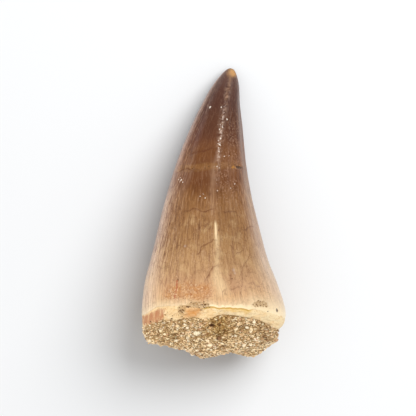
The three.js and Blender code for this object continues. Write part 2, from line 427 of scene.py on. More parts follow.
class Value:
    """A node's output, which works in Python's own arithmetic."""

    def __init__(self, graph: "Graph", socket: bpy.types.NodeSocket) -> None:
        """Wraps one output of a graph."""
        self.graph = graph
        self.socket = socket

    def _join(self, operation: str, first: Any, second: Any) -> "Value":
        """Adds a Math node, or a Vector Math node where a side is a vector or a colour.

        Args:
            operation: What the node does.
            first: A value, a number or three numbers.
            second: The same.

        Returns:
            The result.
        """
        sides = (first, second)
        vector = any(isinstance(s, tuple) or getattr(s, "is_vector", False) for s in sides)
        if vector:
            sides = [(s,) * 3 if isinstance(s, (int, float)) else s for s in sides]
        kind = "ShaderNodeVectorMath" if vector else "ShaderNodeMath"
        return self.graph.node(kind, {"operation": operation}, dict(enumerate(sides)))

    @property
    def is_vector(self) -> bool:
        """Whether the output has more than one number."""
        return self.socket.type in ("VECTOR", "RGBA")

    def __add__(self, other: Any) -> "Value":
        """The sum."""
        return self._join("ADD", self, other)

    def __radd__(self, other: Any) -> "Value":
        """The sum, from the right."""
        return self._join("ADD", other, self)

    def __sub__(self, other: Any) -> "Value":
        """The difference."""
        return self._join("SUBTRACT", self, other)

    def __rsub__(self, other: Any) -> "Value":
        """The difference, from the right."""
        return self._join("SUBTRACT", other, self)

    def __mul__(self, other: Any) -> "Value":
        """The product."""
        return self._join("MULTIPLY", self, other)

    def __rmul__(self, other: Any) -> "Value":
        """The product, from the right."""
        return self._join("MULTIPLY", other, self)

    def __abs__(self) -> "Value":
        """The size of the number."""
        return self.graph.node("ShaderNodeMath", {"operation": "ABSOLUTE"}, {0: self})

    def most(self, other: Any) -> "Value":
        """The larger of the two."""
        return self._join("MAXIMUM", self, other)

    def length(self) -> "Value":
        """The length of the vector."""
        return self.graph.node("ShaderNodeVectorMath", {"operation": "LENGTH"}, {0: self})

    def around(self, spread: Any) -> "Value":
        """Moves 0 to 1 to both sides of 0, with the spread between them."""
        return (self - 0.5) * spread

    def rise(self, low: float, high: float) -> "Value":
        """Rises smoothly from 0 at low to 1 at high, or falls where low is the larger."""
        places = {"Value": self, "From Min": low, "From Max": high}
        return self.graph.node("ShaderNodeMapRange", {"interpolation_type": "SMOOTHSTEP"}, places)

    def span(self, start: float, full: float, fade: float, end: float) -> "Value":
        """Rises from start to full, and falls from fade to end."""
        return self.rise(start, full) * self.rise(end, fade)

    def output(self, name: str) -> "Value":
        """Another output of the same node."""
        return Value(self.graph, self.socket.node.outputs[name])


class Graph:
    """Adds nodes to a tree."""

    def __init__(self, tree: bpy.types.NodeTree) -> None:
        """Starts on an empty tree, of a shader or a modifier."""
        self.tree = tree
        tree.nodes.clear()

    def node(
        self, kind: str, settings: dict[str, Any] | None = None, inputs: dict[Any, Any] | None = None
    ) -> Value:
        """Adds a node.

        Args:
            kind: The node's type.
            settings: Its properties, which are set first; stops are a ramp's places and colours.
            inputs: Values or links of its sockets, by name or by number.

        Returns:
            The first output in use.
        """
        node = self.tree.nodes.new(kind)
        for name, value in (settings or {}).items():
            if name == "stops":
                self._set_stops(node.color_ramp, value)
            else:
                setattr(node, name, value)
        for key, value in (inputs or {}).items():
            self._feed(self._socket(node.inputs, key), value)
        return Value(self, next((s for s in node.outputs if s.enabled), None))

    @staticmethod
    def _set_stops(ramp: bpy.types.ColorRamp, stops: Sequence[tuple[float, Any]]) -> None:
        """Gives a ramp its stops.

        Args:
            ramp: The ramp.
            stops: Places in rising order, and the colours there.
        """
        while len(ramp.elements) < len(stops):
            ramp.elements.new(1.0)
        for element, (place, colour) in zip(ramp.elements, stops):
            element.position = place
            element.color = colour

    @staticmethod
    def _socket(sockets: Any, key: Any) -> bpy.types.NodeSocket:
        """Finds a socket.

        Args:
            sockets: A node's inputs or outputs.
            key: The socket's number, or the name of the one in use.

        Returns:
            The socket.
        """
        if isinstance(key, int):
            return sockets[key]
        return next(socket for socket in sockets if socket.enabled and socket.name == key)

    def _feed(self, socket: bpy.types.NodeSocket, value: Any) -> None:
        """Links a socket, or sets its value.

        Args:
            socket: The socket.
            value: An output of another node, or a constant.
        """
        if isinstance(value, Value):
            self.tree.links.new(value.socket, socket)
        else:
            socket.default_value = value


class Finish(Graph):
    """A material under construction, with the colour that its coats have made so far."""

    def __init__(self, name: str, colour: Any = None) -> None:
        """Starts a material.

        Args:
            name: The material's name.
            colour: Its first colour, if that is the same all over.
        """
        self.material = bpy.data.materials.new(name)
        self.material.use_nodes = True
        super().__init__(self.material.node_tree)
        self.colour = colour

    @cached_property
    def place(self) -> Value:
        """The place in the object, in millimetres."""
        return self.node("ShaderNodeTexCoord").output("Object") * (1 / MM)

    @cached_property
    def x(self) -> Value:
        """How far right the place is."""
        return self.node("ShaderNodeSeparateXYZ", {}, {"Vector": self.place})

    @cached_property
    def y(self) -> Value:
        """How far the place is towards the tip."""
        return self.x.output("Y")

    def attribute(self, name: str) -> Value:
        """A number that the mesh carries."""
        return self.node("ShaderNodeAttribute", {"attribute_name": name}).output("Fac")

    def noise(
        self, scale: float, detail: float = 2.0, roughness: float = 0.5, at: Value | None = None
    ) -> Value:
        """Noise from 0 to 1, at the place or elsewhere."""
        inputs = {"Vector": at or self.place, "Scale": scale, "Detail": detail, "Roughness": roughness}
        return self.node("ShaderNodeTexNoise", {}, inputs)

    def mix(self, share: Any, first: Any, second: Any, how: str = "MIX") -> Value:
        """Mixes two colours."""
        settings = {"data_type": "RGBA", "blend_type": how}
        return self.node("ShaderNodeMix", settings, {"Factor": share, "A": first, "B": second})

    def coat(self, share: Any, code: str) -> None:
        """Covers a share of the colour so far with a paint."""
        self.colour = self.mix(share, self.colour, paint(code))

    def glaze(self, share: Any, code: str) -> None:
        """Tints a share of the colour so far, as a clear paint does."""
        self.colour = self.mix(share, self.colour, paint(code), "MULTIPLY")

    def stain(self, name: str, wander: Value, soft: float, code: str, share: Any) -> None:
        """Coats a marked patch.

        Args:
            name: The patch's attribute.
            wander: How far the patch's edge strays, in millimetres.
            soft: Half the width of the edge.
            code: The patch's paint.
            share: How fully it covers.
        """
        self.coat((self.attribute(name) + wander).rise(-soft, soft) * share, code)

    def tones(self, place: Value, stops: Tones) -> Value:
        """Colours along a scale.

        Args:
            place: Where on the scale each point is.
            stops: Places on the scale in rising order, and the paints there.

        Returns:
            The colour at each point.
        """
        low, high = stops[0][0], stops[-1][0]
        share = self.node("ShaderNodeMapRange", {}, {"Value": place, "From Min": low, "From Max": high})
        painted = [((at - low) / (high - low), paint(code)) for at, code in stops]
        return self.node("ShaderNodeValToRGB", {"stops": painted}, {"Fac": share})

    def close(self, roughness: Any, relief: Value | None = None, depth: float = 0, **constants: Any) -> None:
        """Ends the material in its shader.

        Args:
            roughness: A number or a link.
            relief: The height of the fine relief, from 0 to 1, if it has one.
            depth: How high 1 is, in millimetres.
            constants: The shader's other sockets, with _ for a space.
        """
        inputs = {"Base Color": self.colour, "Roughness": roughness}
        inputs |= {name.replace("_", " "): value for name, value in constants.items()}
        if relief:
            heights = {"Height": relief, "Distance": depth * MM, "Strength": 1.0}
            inputs["Normal"] = self.node("ShaderNodeBump", {}, heights)
        shader = self.node("ShaderNodeBsdfPrincipled", {}, inputs)
        self.node("ShaderNodeOutputMaterial", {}, {"Surface": shader})


# ---------- marks ----------


@dataclass(frozen=True)
class Crack:
    """A hairline crack through (x, y) points, seen from above."""

    points: Pairs
    strength: float
    side: Side = Side.TOP


@dataclass(frozen=True)
class Patch:
    """A stain, or an area that sand lies on, inside (x, y) points, seen from above."""

    name: str
    outline: Pairs
    side: Side = Side.TOP
    density: float = 1.0


# The numbers of the mesh that say how thickly sand lies, and what a stain's number is far outside it.
SAND_SHARES = ("sand_share", "wall_share")
FAR_OUT = -5.0


def inside_distance(x: Array, y: Array, outline: Pairs) -> Array:
    """Measures how far each point lies inside an outline.

    Args:
        x: The points' places along X.
        y: The points' places along Y.
        outline: The corners, in order.

    Returns:
        The distance to the outline, below 0 outside it.
    """
    inside = np.zeros(x.shape, bool)
    nearest = np.full(x.shape, np.inf)
    for (ax, ay), (bx, by) in zip(outline, [*outline[1:], outline[0]]):
        t = (x - ax) * (bx - ax) + (y - ay) * (by - ay)
        t = np.clip(t / ((bx - ax) ** 2 + (by - ay) ** 2), 0, 1)
        nearest = np.minimum(nearest, np.hypot(x - between(ax, bx, t), y - between(ay, by, t)))
        if ay != by:
            inside ^= ((ay > y) != (by > y)) & (x < (bx - ax) * (y - ay) / (by - ay) + ax)
    return np.where(inside, nearest, -nearest)


@dataclass(frozen=True)
class Marks:
    """All cracks, chips, pits and stained areas of the crown. A spot is its x, its y and its radius."""

    cracks: tuple[Crack, ...] = (
        Crack(((-5.3, -0.1), (-4.6, 0.35), (-3.8, 0.45), (-3.3, 0.75), (-2.6, 0.7), (-2.1, 0.35),
               (-1.2, 0.25), (-0.3, 0.55), (0.4, 0.75)), 0.9),
        Crack(((1.3, 0.25), (1.9, 0.05), (2.6, 0.1), (3.3, 0.3), (4.1, 0.15)), 0.8),
        Crack(((0.7, -4.35), (-0.2, -4.5), (-1.0, -5.1), (-1.7, -5.3), (-2.25, -6.1), (-2.9, -6.6)), 0.9),
        Crack(((0.7, -8.35), (-0.1, -8.45), (-0.5, -9.2), (-0.75, -10.1), (-1.5, -11.0)), 0.9),
        Crack(((6.8, -2.2), (5.9, -2.2), (5.3, -2.6), (4.6, -2.6)), 0.7),
        Crack(((5.1, -5.7), (4.4, -6.4), (3.7, -6.6), (3.1, -7.2)), 0.7),
        Crack(((3.0, -2.5), (3.2, -3.9), (3.1, -5.0), (3.4, -6.4), (3.3, -8.0)), 0.4),
        Crack(((6.4, -6.3), (5.6, -7.6), (4.9, -8.6), (4.65, -10.2), (4.7, -11.4), (4.4, -13.3)), 0.6),
        Crack(((5.5, -9.5), (6.4, -9.4), (7.2, -9.8), (7.5, -10.5)), 0.4),
        Crack(((5.6, -11.3), (6.4, -11.2), (7.0, -11.6), (7.9, -11.7)), 0.5),
        Crack(((2.5, -12.15), (3.2, -12.0), (4.0, -11.7), (4.5, -11.9)), 0.6),
        Crack(((-6.1, 6.2), (-5.2, 6.75), (-4.2, 6.95), (-3.2, 6.8), (-2.0, 6.75)), 1.0),
        Crack(((-3.9, 9.2), (-2.7, 9.7), (-1.2, 10.0), (0.2, 10.6)), 1.0),
        Crack(((-6.1, -2.5), (-6.2, -4.1), (-5.95, -5.3), (-6.05, -7.1), (-5.85, -8.9), (-5.75, -10.7)), 0.5),
        Crack(((-9.2, -8.4), (-8.2, -8.6), (-7.3, -8.4), (-6.6, -8.6)), 0.4),
        Crack(((-1.9, -2.3), (-2.3, -3.8), (-2.1, -4.7), (-2.3, -6.0)), 0.35),
        Crack(((-5.0, 0.1), (-5.1, -0.9), (-4.9, -1.8)), 0.35),
        Crack(((2.9, -9.2), (2.8, -10.0), (3.0, -10.9), (2.6, -11.6)), 0.5),
        Crack(((-7.9, 1.2), (-7.2, 1.6), (-6.2, 1.5)), 0.3),
    )
    # Chips: small dents, painted near-white as chipped enamel and as the glints that they catch.
    chips: Spots = (
        (-0.5, 16.9, 0.22), (2.15, 14.95, 0.19), (1.42, 13.75, 0.17), (1.1, 11.9, 0.19), (0.95, 10.9, 0.16),
        (0.85, 9.75, 0.14), (1.75, 9.05, 0.16), (2.6, 9.15, 0.14), (-5.35, 5.25, 0.19), (-5.75, 5.3, 0.15),
        (-5.6, 4.95, 0.15), (-5.1, 4.9, 0.14), (-5.5, 5.65, 0.14), (0.6, 3.55, 0.16), (-1.3, 2.35, 0.15),
        (-2.1, 2.6, 0.13), (-1.6, 2.95, 0.13), (-1.75, 1.95, 0.12), (2.9, 3.9, 0.13), (3.6, 4.6, 0.13),
        (1.3, 12.7, 0.12), (0.9, 7.2, 0.14), (0.95, 13.3, 0.16), (1.3, 16.9, 0.16),
    )
    pits: Spots = (
        (-3.4, 7.05, 0.15), (-2.5, 6.75, 0.12), (-1.35, 7.15, 0.12), (-0.75, 7.35, 0.13), (3.85, 7.3, 0.26),
        (4.1, 7.28, 0.33), (4.4, 7.24, 0.34), (4.7, 7.22, 0.24), (-5.75, -10.55, 0.17), (-5.7, -10.8, 0.13),
        (-9.75, -13.3, 0.14), (3.0, -10.5, 0.14), (10.35, -15.55, 0.38), (8.75, -16.55, 0.2),
        (-10.1, -15.2, 0.11), (-2.3, 2.0, 0.12), (-9.9, -14.9, 0.1), (8.85, -15.7, 0.18),
        (-3.9, 6.95, 0.12), (-3.1, 7.3, 0.1),
    )
    glints: Spots = ((3.15, 7.2, 0.22), (3.4, 7.32, 0.26), (3.7, 7.2, 0.24), (4.3, 7.55, 0.18))
    # Pale spots; the right pair paints a small glint.
    milky_glint_spots: Spots = ((-4.55, -5.3, 0.32), (3.25, -9.1, 0.42), (3.45, -9.6, 0.3))
    patches: tuple[Patch, ...] = (
        Patch("orange_stain", ((-7.5, -12.1), (-6.0, -11.5), (-4.4, -10.9), (-2.4, -11.3), (-0.5, -11.2),
                               (0.0, -12.4), (-0.4, -13.7), (-2.8, -13.9), (-5.6, -13.9), (-7.4, -13.6))),
        Patch("red_stain", ((-11.5, -16.6), (-10.2, -16.1), (-9.3, -15.6), (-8.3, -15.15), (-7.75, -15.35),
                            (-7.9, -16.3), (-8.2, -17.2), (-8.9, -17.9), (-9.8, -18.1), (-10.9, -17.9),
                            (-11.5, -17.6))),
        Patch("red_streak", ((-5.88, -10.7), (-5.68, -10.7), (-5.74, -12.0), (-5.98, -13.6), (-6.3, -13.9),
                             (-6.16, -13.2), (-5.94, -12.0))),
        Patch("lip_stain", ((-4.3, -15.4), (-3.4, -15.1), (-2.2, -15.0), (-1.9, -15.6), (-2.6, -16.5),
                            (-3.9, -16.8), (-4.6, -16.3))),
        Patch("under_stain", ((-7, -12.5), (-3, -11.8), (2, -13), (4, -15), (0, -16.5), (-6, -15.5)),
              Side.UNDER),
        Patch("sand_share", ((-5.8, -14.76), (-5.16, -14.44), (-4.2, -14.52), (-4.2, -15.4), (-4.68, -16.2),
                             (-5.16, -16.6), (-5.64, -16.2), (-5.88, -15.4)), density=0.72),
        Patch("sand_share", ((-4.5, -14.5), (-3.72, -14.0), (-2.44, -13.9), (-1.16, -14.1), (-0.2, -14.5),
                             (-0.6, -15.35), (-2.12, -15.4), (-3.4, -15.25), (-4.5, -15.3)), density=0.68),
        Patch("sand_share", ((-7.8, -15.8), (-6.6, -15.6), (-5.2, -15.9), (-4.4, -16.6), (-5.2, -17.2),
                             (-7.0, -17.3), (-7.9, -16.8)), density=0.35),
        Patch("sand_share", ((5.88, -14.76), (6.36, -14.12), (7.16, -13.8), (8.12, -13.88), (8.76, -14.28),
                             (8.76, -14.92), (7.8, -15.16), (6.68, -15.16)), density=0.72),
        Patch("wall_share", ((-12.2, -18.3), (-11.0, -18.1), (-10.1, -17.6), (-8.9, -17.3), (-7.9, -16.9),
                             (-7.0, -17.2), (-7.6, -19.0), (-9.4, -21.4), (-12.2, -21.4))),
    )
    crack_width: float = 0.5
    crack_depth: float = 0.035
    hidden_cracks: int = 16
    hidden_reach: float = 14
    hidden_width: float = 0.8
    hidden_headings: Pair = (0.0, 1.5)
    hidden_stray: float = 0.4
    hidden_steps: tuple[int, int] = (3, 7)
    hidden_step: float = 1.1
    hidden_bend: float = 0.5
    hidden_strength: Pair = (0.35, 0.9)
    seed: int = 11

    def all_cracks(self, form: ToothForm) -> list[Crack]:
        """Adds scattered cracks on the underside to those that have a set place.

        Args:
            form: The crown's form, which the scattered cracks keep to.

        Returns:
            All cracks.
        """
        rng = np.random.default_rng(self.seed)
        cracks = list(self.cracks)
        for _ in range(self.hidden_cracks):
            y = rng.uniform(-self.hidden_reach, self.hidden_reach)
            width, _ = form.half_sizes(np.array(y))
            x = rng.uniform(-self.hidden_width, self.hidden_width) * float(width)
            heading = rng.choice(self.hidden_headings) + rng.uniform(-self.hidden_stray, self.hidden_stray)
            points = []
            for _ in range(rng.integers(*self.hidden_steps)):
                points.append((x, y))
                x += self.hidden_step * math.cos(heading)
                y += self.hidden_step * math.sin(heading)
                heading += rng.uniform(-self.hidden_bend, self.hidden_bend)
            cracks.append(Crack(tuple(points), rng.uniform(*self.hidden_strength), Side.UNDER))
        return cracks


# ---------- meshes ----------


def make_object(name: str, mesh: bpy.types.Mesh) -> bpy.types.Object:
    """Puts a mesh in the scene as an object at the origin.

    Args:
        name: The object's name.
        mesh: Its mesh.

    Returns:
        The object.
    """
    piece = bpy.data.objects.new(name, mesh)
    bpy.context.scene.collection.objects.link(piece)
    return piece


def read_points(mesh: bpy.types.Mesh) -> Array:
    """The mesh's vertices, one to a row.

    Args:
        mesh: The mesh.

    Returns:
        The points.
    """
    points = np.empty(len(mesh.vertices) * 3, np.float32)
    mesh.vertices.foreach_get("co", points)
    return points.reshape(-1, 3).astype(float)


def move_points(mesh: bpy.types.Mesh, points: Array) -> None:
    """Moves the mesh's vertices."""
    mesh.vertices.foreach_set("co", points.astype(np.float32).ravel())
    mesh.update()


def smooth_faces(mesh: bpy.types.Mesh) -> None:
    """Shades all faces smooth."""
    mesh.polygons.foreach_set("use_smooth", np.ones(len(mesh.polygons), bool))


def set_numbers(mesh: bpy.types.Mesh, name: str, numbers: Array) -> None:
    """Gives each vertex a number, or three, that materials can read.

    Args:
        mesh: The mesh.
        name: The attribute's name.
        numbers: One number for each vertex, or a vector in the last axis.
    """
    vector = numbers.ndim == 2
    layer = mesh.attributes.new(name, "FLOAT_VECTOR" if vector else "FLOAT", "POINT")
    layer.data.foreach_set("vector" if vector else "value", numbers.astype(np.float32).ravel())


def report(piece: bpy.types.Object) -> bpy.types.Object:
    """Logs a finished piece's size in triangles.

    Args:
        piece: The piece.

    Returns:
        The same piece.
    """
    piece.data.calc_loop_triangles()
    log.info("%s: %d triangles", piece.name, len(piece.data.loop_triangles))
    return piece


@dataclass
class Crown:
    """The tooth crown: glossy enamel, and the dentine that shows where it is broken off."""

    form: ToothForm
    marks: Marks = field(default_factory=Marks)
    around: int = 384
    keel_crowding: float = 0.35
    enamel_rows: int = 206
    tip_crowding: float = 1.15
    strip_rows: int = 7
    face_rows: int = 14
    hollow_rows: int = 6
    edge_wander: float = 0.16
    edge_crinkles: float = 14
    edge_round: float = 0.06
    edge_round_width: float = 0.12
    edge_drop: float = 0.03
    break_wander: float = 0.12
    break_crinkles: float = 16
    strip_start: float = 0.1
    least_strip: float = 0.25
    strip_sink: float = 1.5
    strip_roughness: float = 0.05
    strip_grain: float = 0.7
    face_roughness: float = 0.1
    face_grain: float = 0.9
    face_swing: float = 3
    swell: float = 0.05
    swell_size: float = 4.5
    striae_depth: float = 0.014
    striae_per_mm: float = 2.1
    striae_radius: float = 10.5
    striae_stretch: float = 0.3
    serration: float = 0.012
    serration_pitch: float = 0.42
    serration_wander: float = 2
    serration_grain: float = 1.5
    ledge_span: Span = (-2.0, -1.2, 5.6, 6.6)
    ledge_step: float = 0.24
    plain_step: float = 0.07
    crack_drift: float = 0.22
    drift_sizes: Pair = (1.3, 0.4)
    crack_reach: float = 1.2
    crack_fade: Pair = (0.9, 0.35)
    crack_taper: float = 5
    chip_depth: float = 0.07
    pit_depth: float = 0.12
    spot_rim: float = 0.3
    # painted highlight: where the bright line beside the keel shows, along the tooth
    highlight_streak_span: Span = (-6.0, -2.9, -2.0, -0.9)
    ridge_span: Span = (-14.2, -12.2, -5, -2)
    beside_span: Span = (-2.0, 1.0, 6.0, 9.5)
    wear_fade: Pair = (-0.45, 0.25)
    sand_fade: Pair = (-0.15, 0.35)
    sand_turn: Pair = (-0.35, 0.05)

    def step_degrees(self) -> Array:
        """Spaces the steps round the crown, which crowd at the keels.

        Returns:
            The direction of each step.
        """
        half = self.around // 2
        t = np.arange(half) / half
        t = t - self.keel_crowding * np.sin(2 * math.pi * t) / (2 * math.pi)
        upper, lower = (keel.degrees for keel in self.form.keels)
        return np.concatenate([between(upper, lower, t), between(lower, upper + 360, t)])

    def striae_place(self, degrees: Array, y: Array) -> Array:
        """Where a point is in a noise whose cells run lengthwise."""
        across = self.striae_per_mm * np.sqrt(self.form.mean_radius(y) * self.striae_radius)
        return circle(degrees, across, y * self.striae_stretch)

    def enamel_detail(self, degrees: Array, y: Array) -> Array:
        """Works out the fine relief of the enamel: swells, striae, and the keels' fine teeth.

        Args:
            degrees: The direction of each point round the crown.
            y: The height of each point.

        Returns:
            How far the enamel stands out.
        """
        place = self.form.section_point(degrees, y)
        relief = self.swell * soft_noise(place / self.swell_size, Salt.SWELL, 2)
        relief += self.striae_depth * soft_noise(self.striae_place(degrees, y), Salt.STRIAE, 2)
        wander = self.serration_wander * soft_noise(place / self.serration_grain, Salt.TEETH)
        wave = np.sin(2 * math.pi * y / self.serration_pitch + wander)
        for keel in self.form.keels:
            crest = bell(self.form.keel_distance(keel, degrees, y), keel.crest_width)
            relief += self.serration * crest * wave * self.form.reach_share(self.form.keel_reach, y)
        return relief

    def ledge(self, degrees: Array) -> Array:
        """How plainly the enamel ends in a ledge in each direction, from 0 to 1."""
        x = self.form.section_point(degrees, self.form.enamel_edge_ring(degrees))[..., 0]
        return span(x, *self.ledge_span) * (np.sin(np.radians(degrees)) > 0)

    def edge(self, degrees: Array) -> Array:
        """The uneven height at which the enamel stops."""
        wander = soft_noise(circle(degrees, 1, 0) * self.edge_crinkles, Salt.EDGE, 3)
        return self.form.enamel_edge_ring(degrees) + self.edge_wander * wander

    def rings(self) -> tuple[Array, Array, Array, Array]:
        """Lays out the crown's rings, from the tip down the enamel, over the break and into the hollow.

        Returns:
            The directions, and the heights, shares and clearances of all rings.
        """
        form = self.form
        degrees = self.step_degrees()
        edge = self.edge(degrees)
        wander = soft_noise(circle(degrees, 1, 0) * self.break_crinkles, Salt.BREAK, 3)
        break_edge = form.break_edge_ring(degrees) + self.break_wander * wander
        break_edge = np.minimum(break_edge, edge - self.least_strip)
        mouth = form.mouth_edge_ring(degrees)
        rings: list[tuple[Array, float, Array]] = []
        for row in range(1, self.enamel_rows + 1):
            y = between(form.tip_y, edge, (row / self.enamel_rows) ** self.tip_crowding)
            rounded = self.edge_round * bell(y - edge, self.edge_round_width)
            rings.append((y, 1, form.enamel_relief(degrees, y) + self.enamel_detail(degrees, y) - rounded))
        step = between(self.plain_step, self.ledge_step, self.ledge(degrees))
        rings.append((edge - self.edge_drop, 1, -step / 2))
        for row in range(self.strip_rows):
            share = row / (self.strip_rows - 1)
            y = between(edge - self.strip_start, break_edge, share)
            rough = soft_noise(form.section_point(degrees, y) / self.strip_grain, Salt.STRIP, 2)
            sunk = between(-step, -self.strip_sink * form.enamel_step, share**2)
            rings.append((y, 1, sunk + self.strip_roughness * rough))
        for row in range(1, self.face_rows + 1):
            across = row / self.face_rows
            share = 1 - form.wall_share * across
            grain = soft_noise(form.section_point(degrees, mouth, share) / self.face_grain, Salt.FACE, 3)
            rough = form.break_relief * form.broken_relief(degrees, across * self.face_swing)
            rough = (rough + self.face_roughness * grain) * math.sin(math.pi * across)
            rounded = form.enamel_step / 2 * (1 - across) ** 2
            rings.append((between(break_edge, mouth, across) + rough, share, -form.enamel_step - rounded))
        for row in range(1, self.hollow_rows):
            into = row / self.hollow_rows
            share = (1 - form.wall_share) * math.sqrt(1 - into**2)
            rings.append((between(mouth, form.hollow_end, into), share, 0))
        columns = (np.array([np.broadcast_to(ring[i], degrees.shape) for ring in rings]) for i in range(3))
        return degrees, *columns

    def crack_fields(self, degrees: Array, y: Array, points: Array) -> tuple[Array, Array]:
        """How far each point is to one side of the nearest crack, and how strongly that crack shows there.

        Args:
            degrees: The direction of each point round the crown.
            y: The height of each point.
            points: The points.

        Returns:
            The signed distance in millimetres, and a strength from 0 to 1.
        """
        side = np.full(y.shape, self.crack_reach)
        near = np.zeros(y.shape)
        normals = circle(degrees, 1, 0)[..., [0, 2, 1]]
        for crack in self.marks.all_cracks(self.form):
            walk = np.array(crack.points, float)
            places = np.linspace(0, len(walk) - 1, 4 * len(walk) - 3)
            x_at, y_at = (SmoothCurve(list(enumerate(walk[:, i])))(places) for i in (0, 1))
            line = self.form.enamel_point(x_at, y_at, crack.side)
            farthest = self.crack_reach + np.ptp(line, axis=0).max()
            close = np.linalg.norm(points - line.mean(axis=0), axis=-1) < farthest
            for number in range(len(line) - 1):
                start, way = line[number], line[number + 1] - line[number]
                offset = points[close] - start
                t = np.clip(offset @ way / (way @ way), 0, 1)
                away = offset - t[:, None] * way
                distance = np.linalg.norm(away, axis=-1)
                sign = np.sign(np.einsum("ij,ij->i", np.cross(way, away), normals[close]))
                sign[sign == 0] = 1
                along = (number + t) / (len(line) - 1)
                taper = np.minimum(1, self.crack_taper * np.minimum(along, 1 - along)) ** 0.5
                strength = crack.strength * taper * smoothstep(distance, *self.crack_fade)
                better = distance < np.abs(side[close])
                side[close] = np.where(better, sign * distance, side[close])
                near[close] = np.where(better, strength, near[close])
        broad, fine = (points / size for size in self.drift_sizes)
        drift = soft_noise(broad, Salt.DRIFT) + soft_noise(fine, Salt.FINE_DRIFT) / 2
        return side + self.crack_drift * drift * (near > 0), near

    def spot_field(self, spots: Spots, points: Array) -> Array:
        """Works out how deep inside the nearest spot each point is.

        Args:
            spots: The spots.
            points: The points.

        Returns:
            1 at a spot's middle, 0 at its edge, and less outside it, down to -1.
        """
        depth = np.full(points.shape[:-1], -1.0)
        for x, y, radius in spots:
            centre = self.form.enamel_point(np.array(x), np.array(y))
            depth = np.maximum(depth, 1 - np.linalg.norm(points - centre, axis=-1) / radius)
        return depth

    def patch_fields(self, degrees: Array, points: Array) -> dict[str, Array]:
        """How far inside each stain, and how deep in sand, each point is.

        Args:
            degrees: The direction of each point round the crown.
            points: The points.

        Returns:
            The numbers by name.
        """
        x, y, up = points[..., 0], points[..., 1], np.sin(np.radians(degrees))
        fields = {name: np.zeros(x.shape) for name in SAND_SHARES}
        for patch in self.marks.patches:
            inside = inside_distance(x, y, patch.outline)
            if patch.name in SAND_SHARES:
                shown = smoothstep(inside, *self.sand_fade) * smoothstep(up, *self.sand_turn)
                fields[patch.name] = np.maximum(fields[patch.name], shown * patch.density)
            else:
                shown = np.where(up * patch.side.value > 0, inside, FAR_OUT)
                fields[patch.name] = np.maximum(shown, FAR_OUT)
        return fields

    def surface_fields(self, degrees: Array, y: Array) -> dict[str, Array]:
        """Numbers that follow the surface.

        Args:
            degrees: The direction of each point round the crown.
            y: The height of each point.

        Returns:
            The numbers by name: how far each point is from the enamel's edge, how far it is turned to
            the right, how near and how far from a keel it is, and how fully the painted highlight line, the
            pale ridge, the pale band beside the keel and the ledge show there.
        """
        form = self.form
        upper, lower = (form.keel_distance(keel, degrees, y) for keel in form.keels)
        nearest = np.where(np.abs(upper) < np.abs(lower), upper, lower)
        ridge_middle = 0.25 + 0.4 * bell(y + 10, 2)
        ridge_width = between(0.34, 1.05, smoothstep(y, -8, -12.5))
        ridge = span(y, *self.ridge_span) * between(0.75, 1, smoothstep(y, -8, -11))
        highlight_streak_width = between(0.09, 0.15, smoothstep(y, -1, -2.5))
        return {
            "from_edge": y - self.edge(degrees),
            "turn": np.cos(np.radians(degrees)),
            "crest": bell(nearest, form.keels[0].crest_width) * form.reach_share(form.keel_reach, y),
            "keel_side": nearest,
            # painted highlight: a narrow bright line just beside the upper keel
            "streak": bell(upper - 0.3, highlight_streak_width) * span(y, *self.highlight_streak_span),
            "ridge": bell(upper - ridge_middle, ridge_width) * ridge,
            "beside": bell(upper - 0.55, 0.4) * span(y, *self.beside_span),
            "ledge": self.ledge(degrees) * np.ones_like(y),
        }

    def build_mesh(self) -> bpy.types.Mesh:
        """Makes the crown's mesh, with the numbers that its finishes read.

        Returns:
            The mesh.
        """
        form, marks = self.form, self.marks
        degrees, heights, shares, clears = self.rings()
        wide = np.broadcast_to(degrees, heights.shape)
        points = form.section_point(wide, heights, shares, clears)
        side, near = self.crack_fields(wide, heights, points)
        groups = {"chip_glint": marks.chips, "pit": marks.pits, "milk_glint": marks.milky_glint_spots, "glint": marks.glints}
        spots = {name: self.spot_field(group, points) for name, group in groups.items()}
        groove = marks.crack_depth * near * bell(side, marks.crack_width / 3)
        chip_glint, pit = (np.clip(spots[name] + self.spot_rim, 0, 1) for name in ("chip_glint", "pit"))
        enamel = np.arange(len(heights))[:, None] < self.enamel_rows
        clears = clears - np.where(enamel, groove + (self.chip_depth * chip_glint + self.pit_depth * pit), 0)
        grid = form.section_point(wide, heights, shares, clears)

        first = form.section_point(0.0, form.tip_y)[None]
        last = form.section_point(0.0, form.hollow_end, 0)[None]
        vertices = np.concatenate([first, grid.reshape(-1, 3), last])
        direction = np.array(form.tip_wear_direction) / np.linalg.norm(form.tip_wear_direction)
        over = vertices @ direction - form.tip_wear_distance
        vertices -= np.maximum(over, 0)[:, None] * direction
        vertices[:, 2] = np.maximum(vertices[:, 2], 0)

        mesh = self.join(vertices, len(heights))
        patches = self.patch_fields(wide, grid)
        sand = {name: patches.pop(name) for name in SAND_SHARES}
        plain = {"crack_side": side, "crack_near": near} | sand | self.surface_fields(wide, heights)
        for at_ends, fields in ((0, plain), (-1, spots), (FAR_OUT, patches)):
            for name, numbers in fields.items():
                set_numbers(mesh, name, np.pad(numbers.ravel(), 1, constant_values=at_ends))
        set_numbers(mesh, "worn", smoothstep(over, *self.wear_fade))
        ends = self.striae_place(np.zeros(2), np.array([form.tip_y, form.hollow_end]))
        striae = self.striae_place(wide, heights).reshape(-1, 3)
        set_numbers(mesh, "striae", np.concatenate([ends[:1], striae, ends[1:]]))
        return mesh

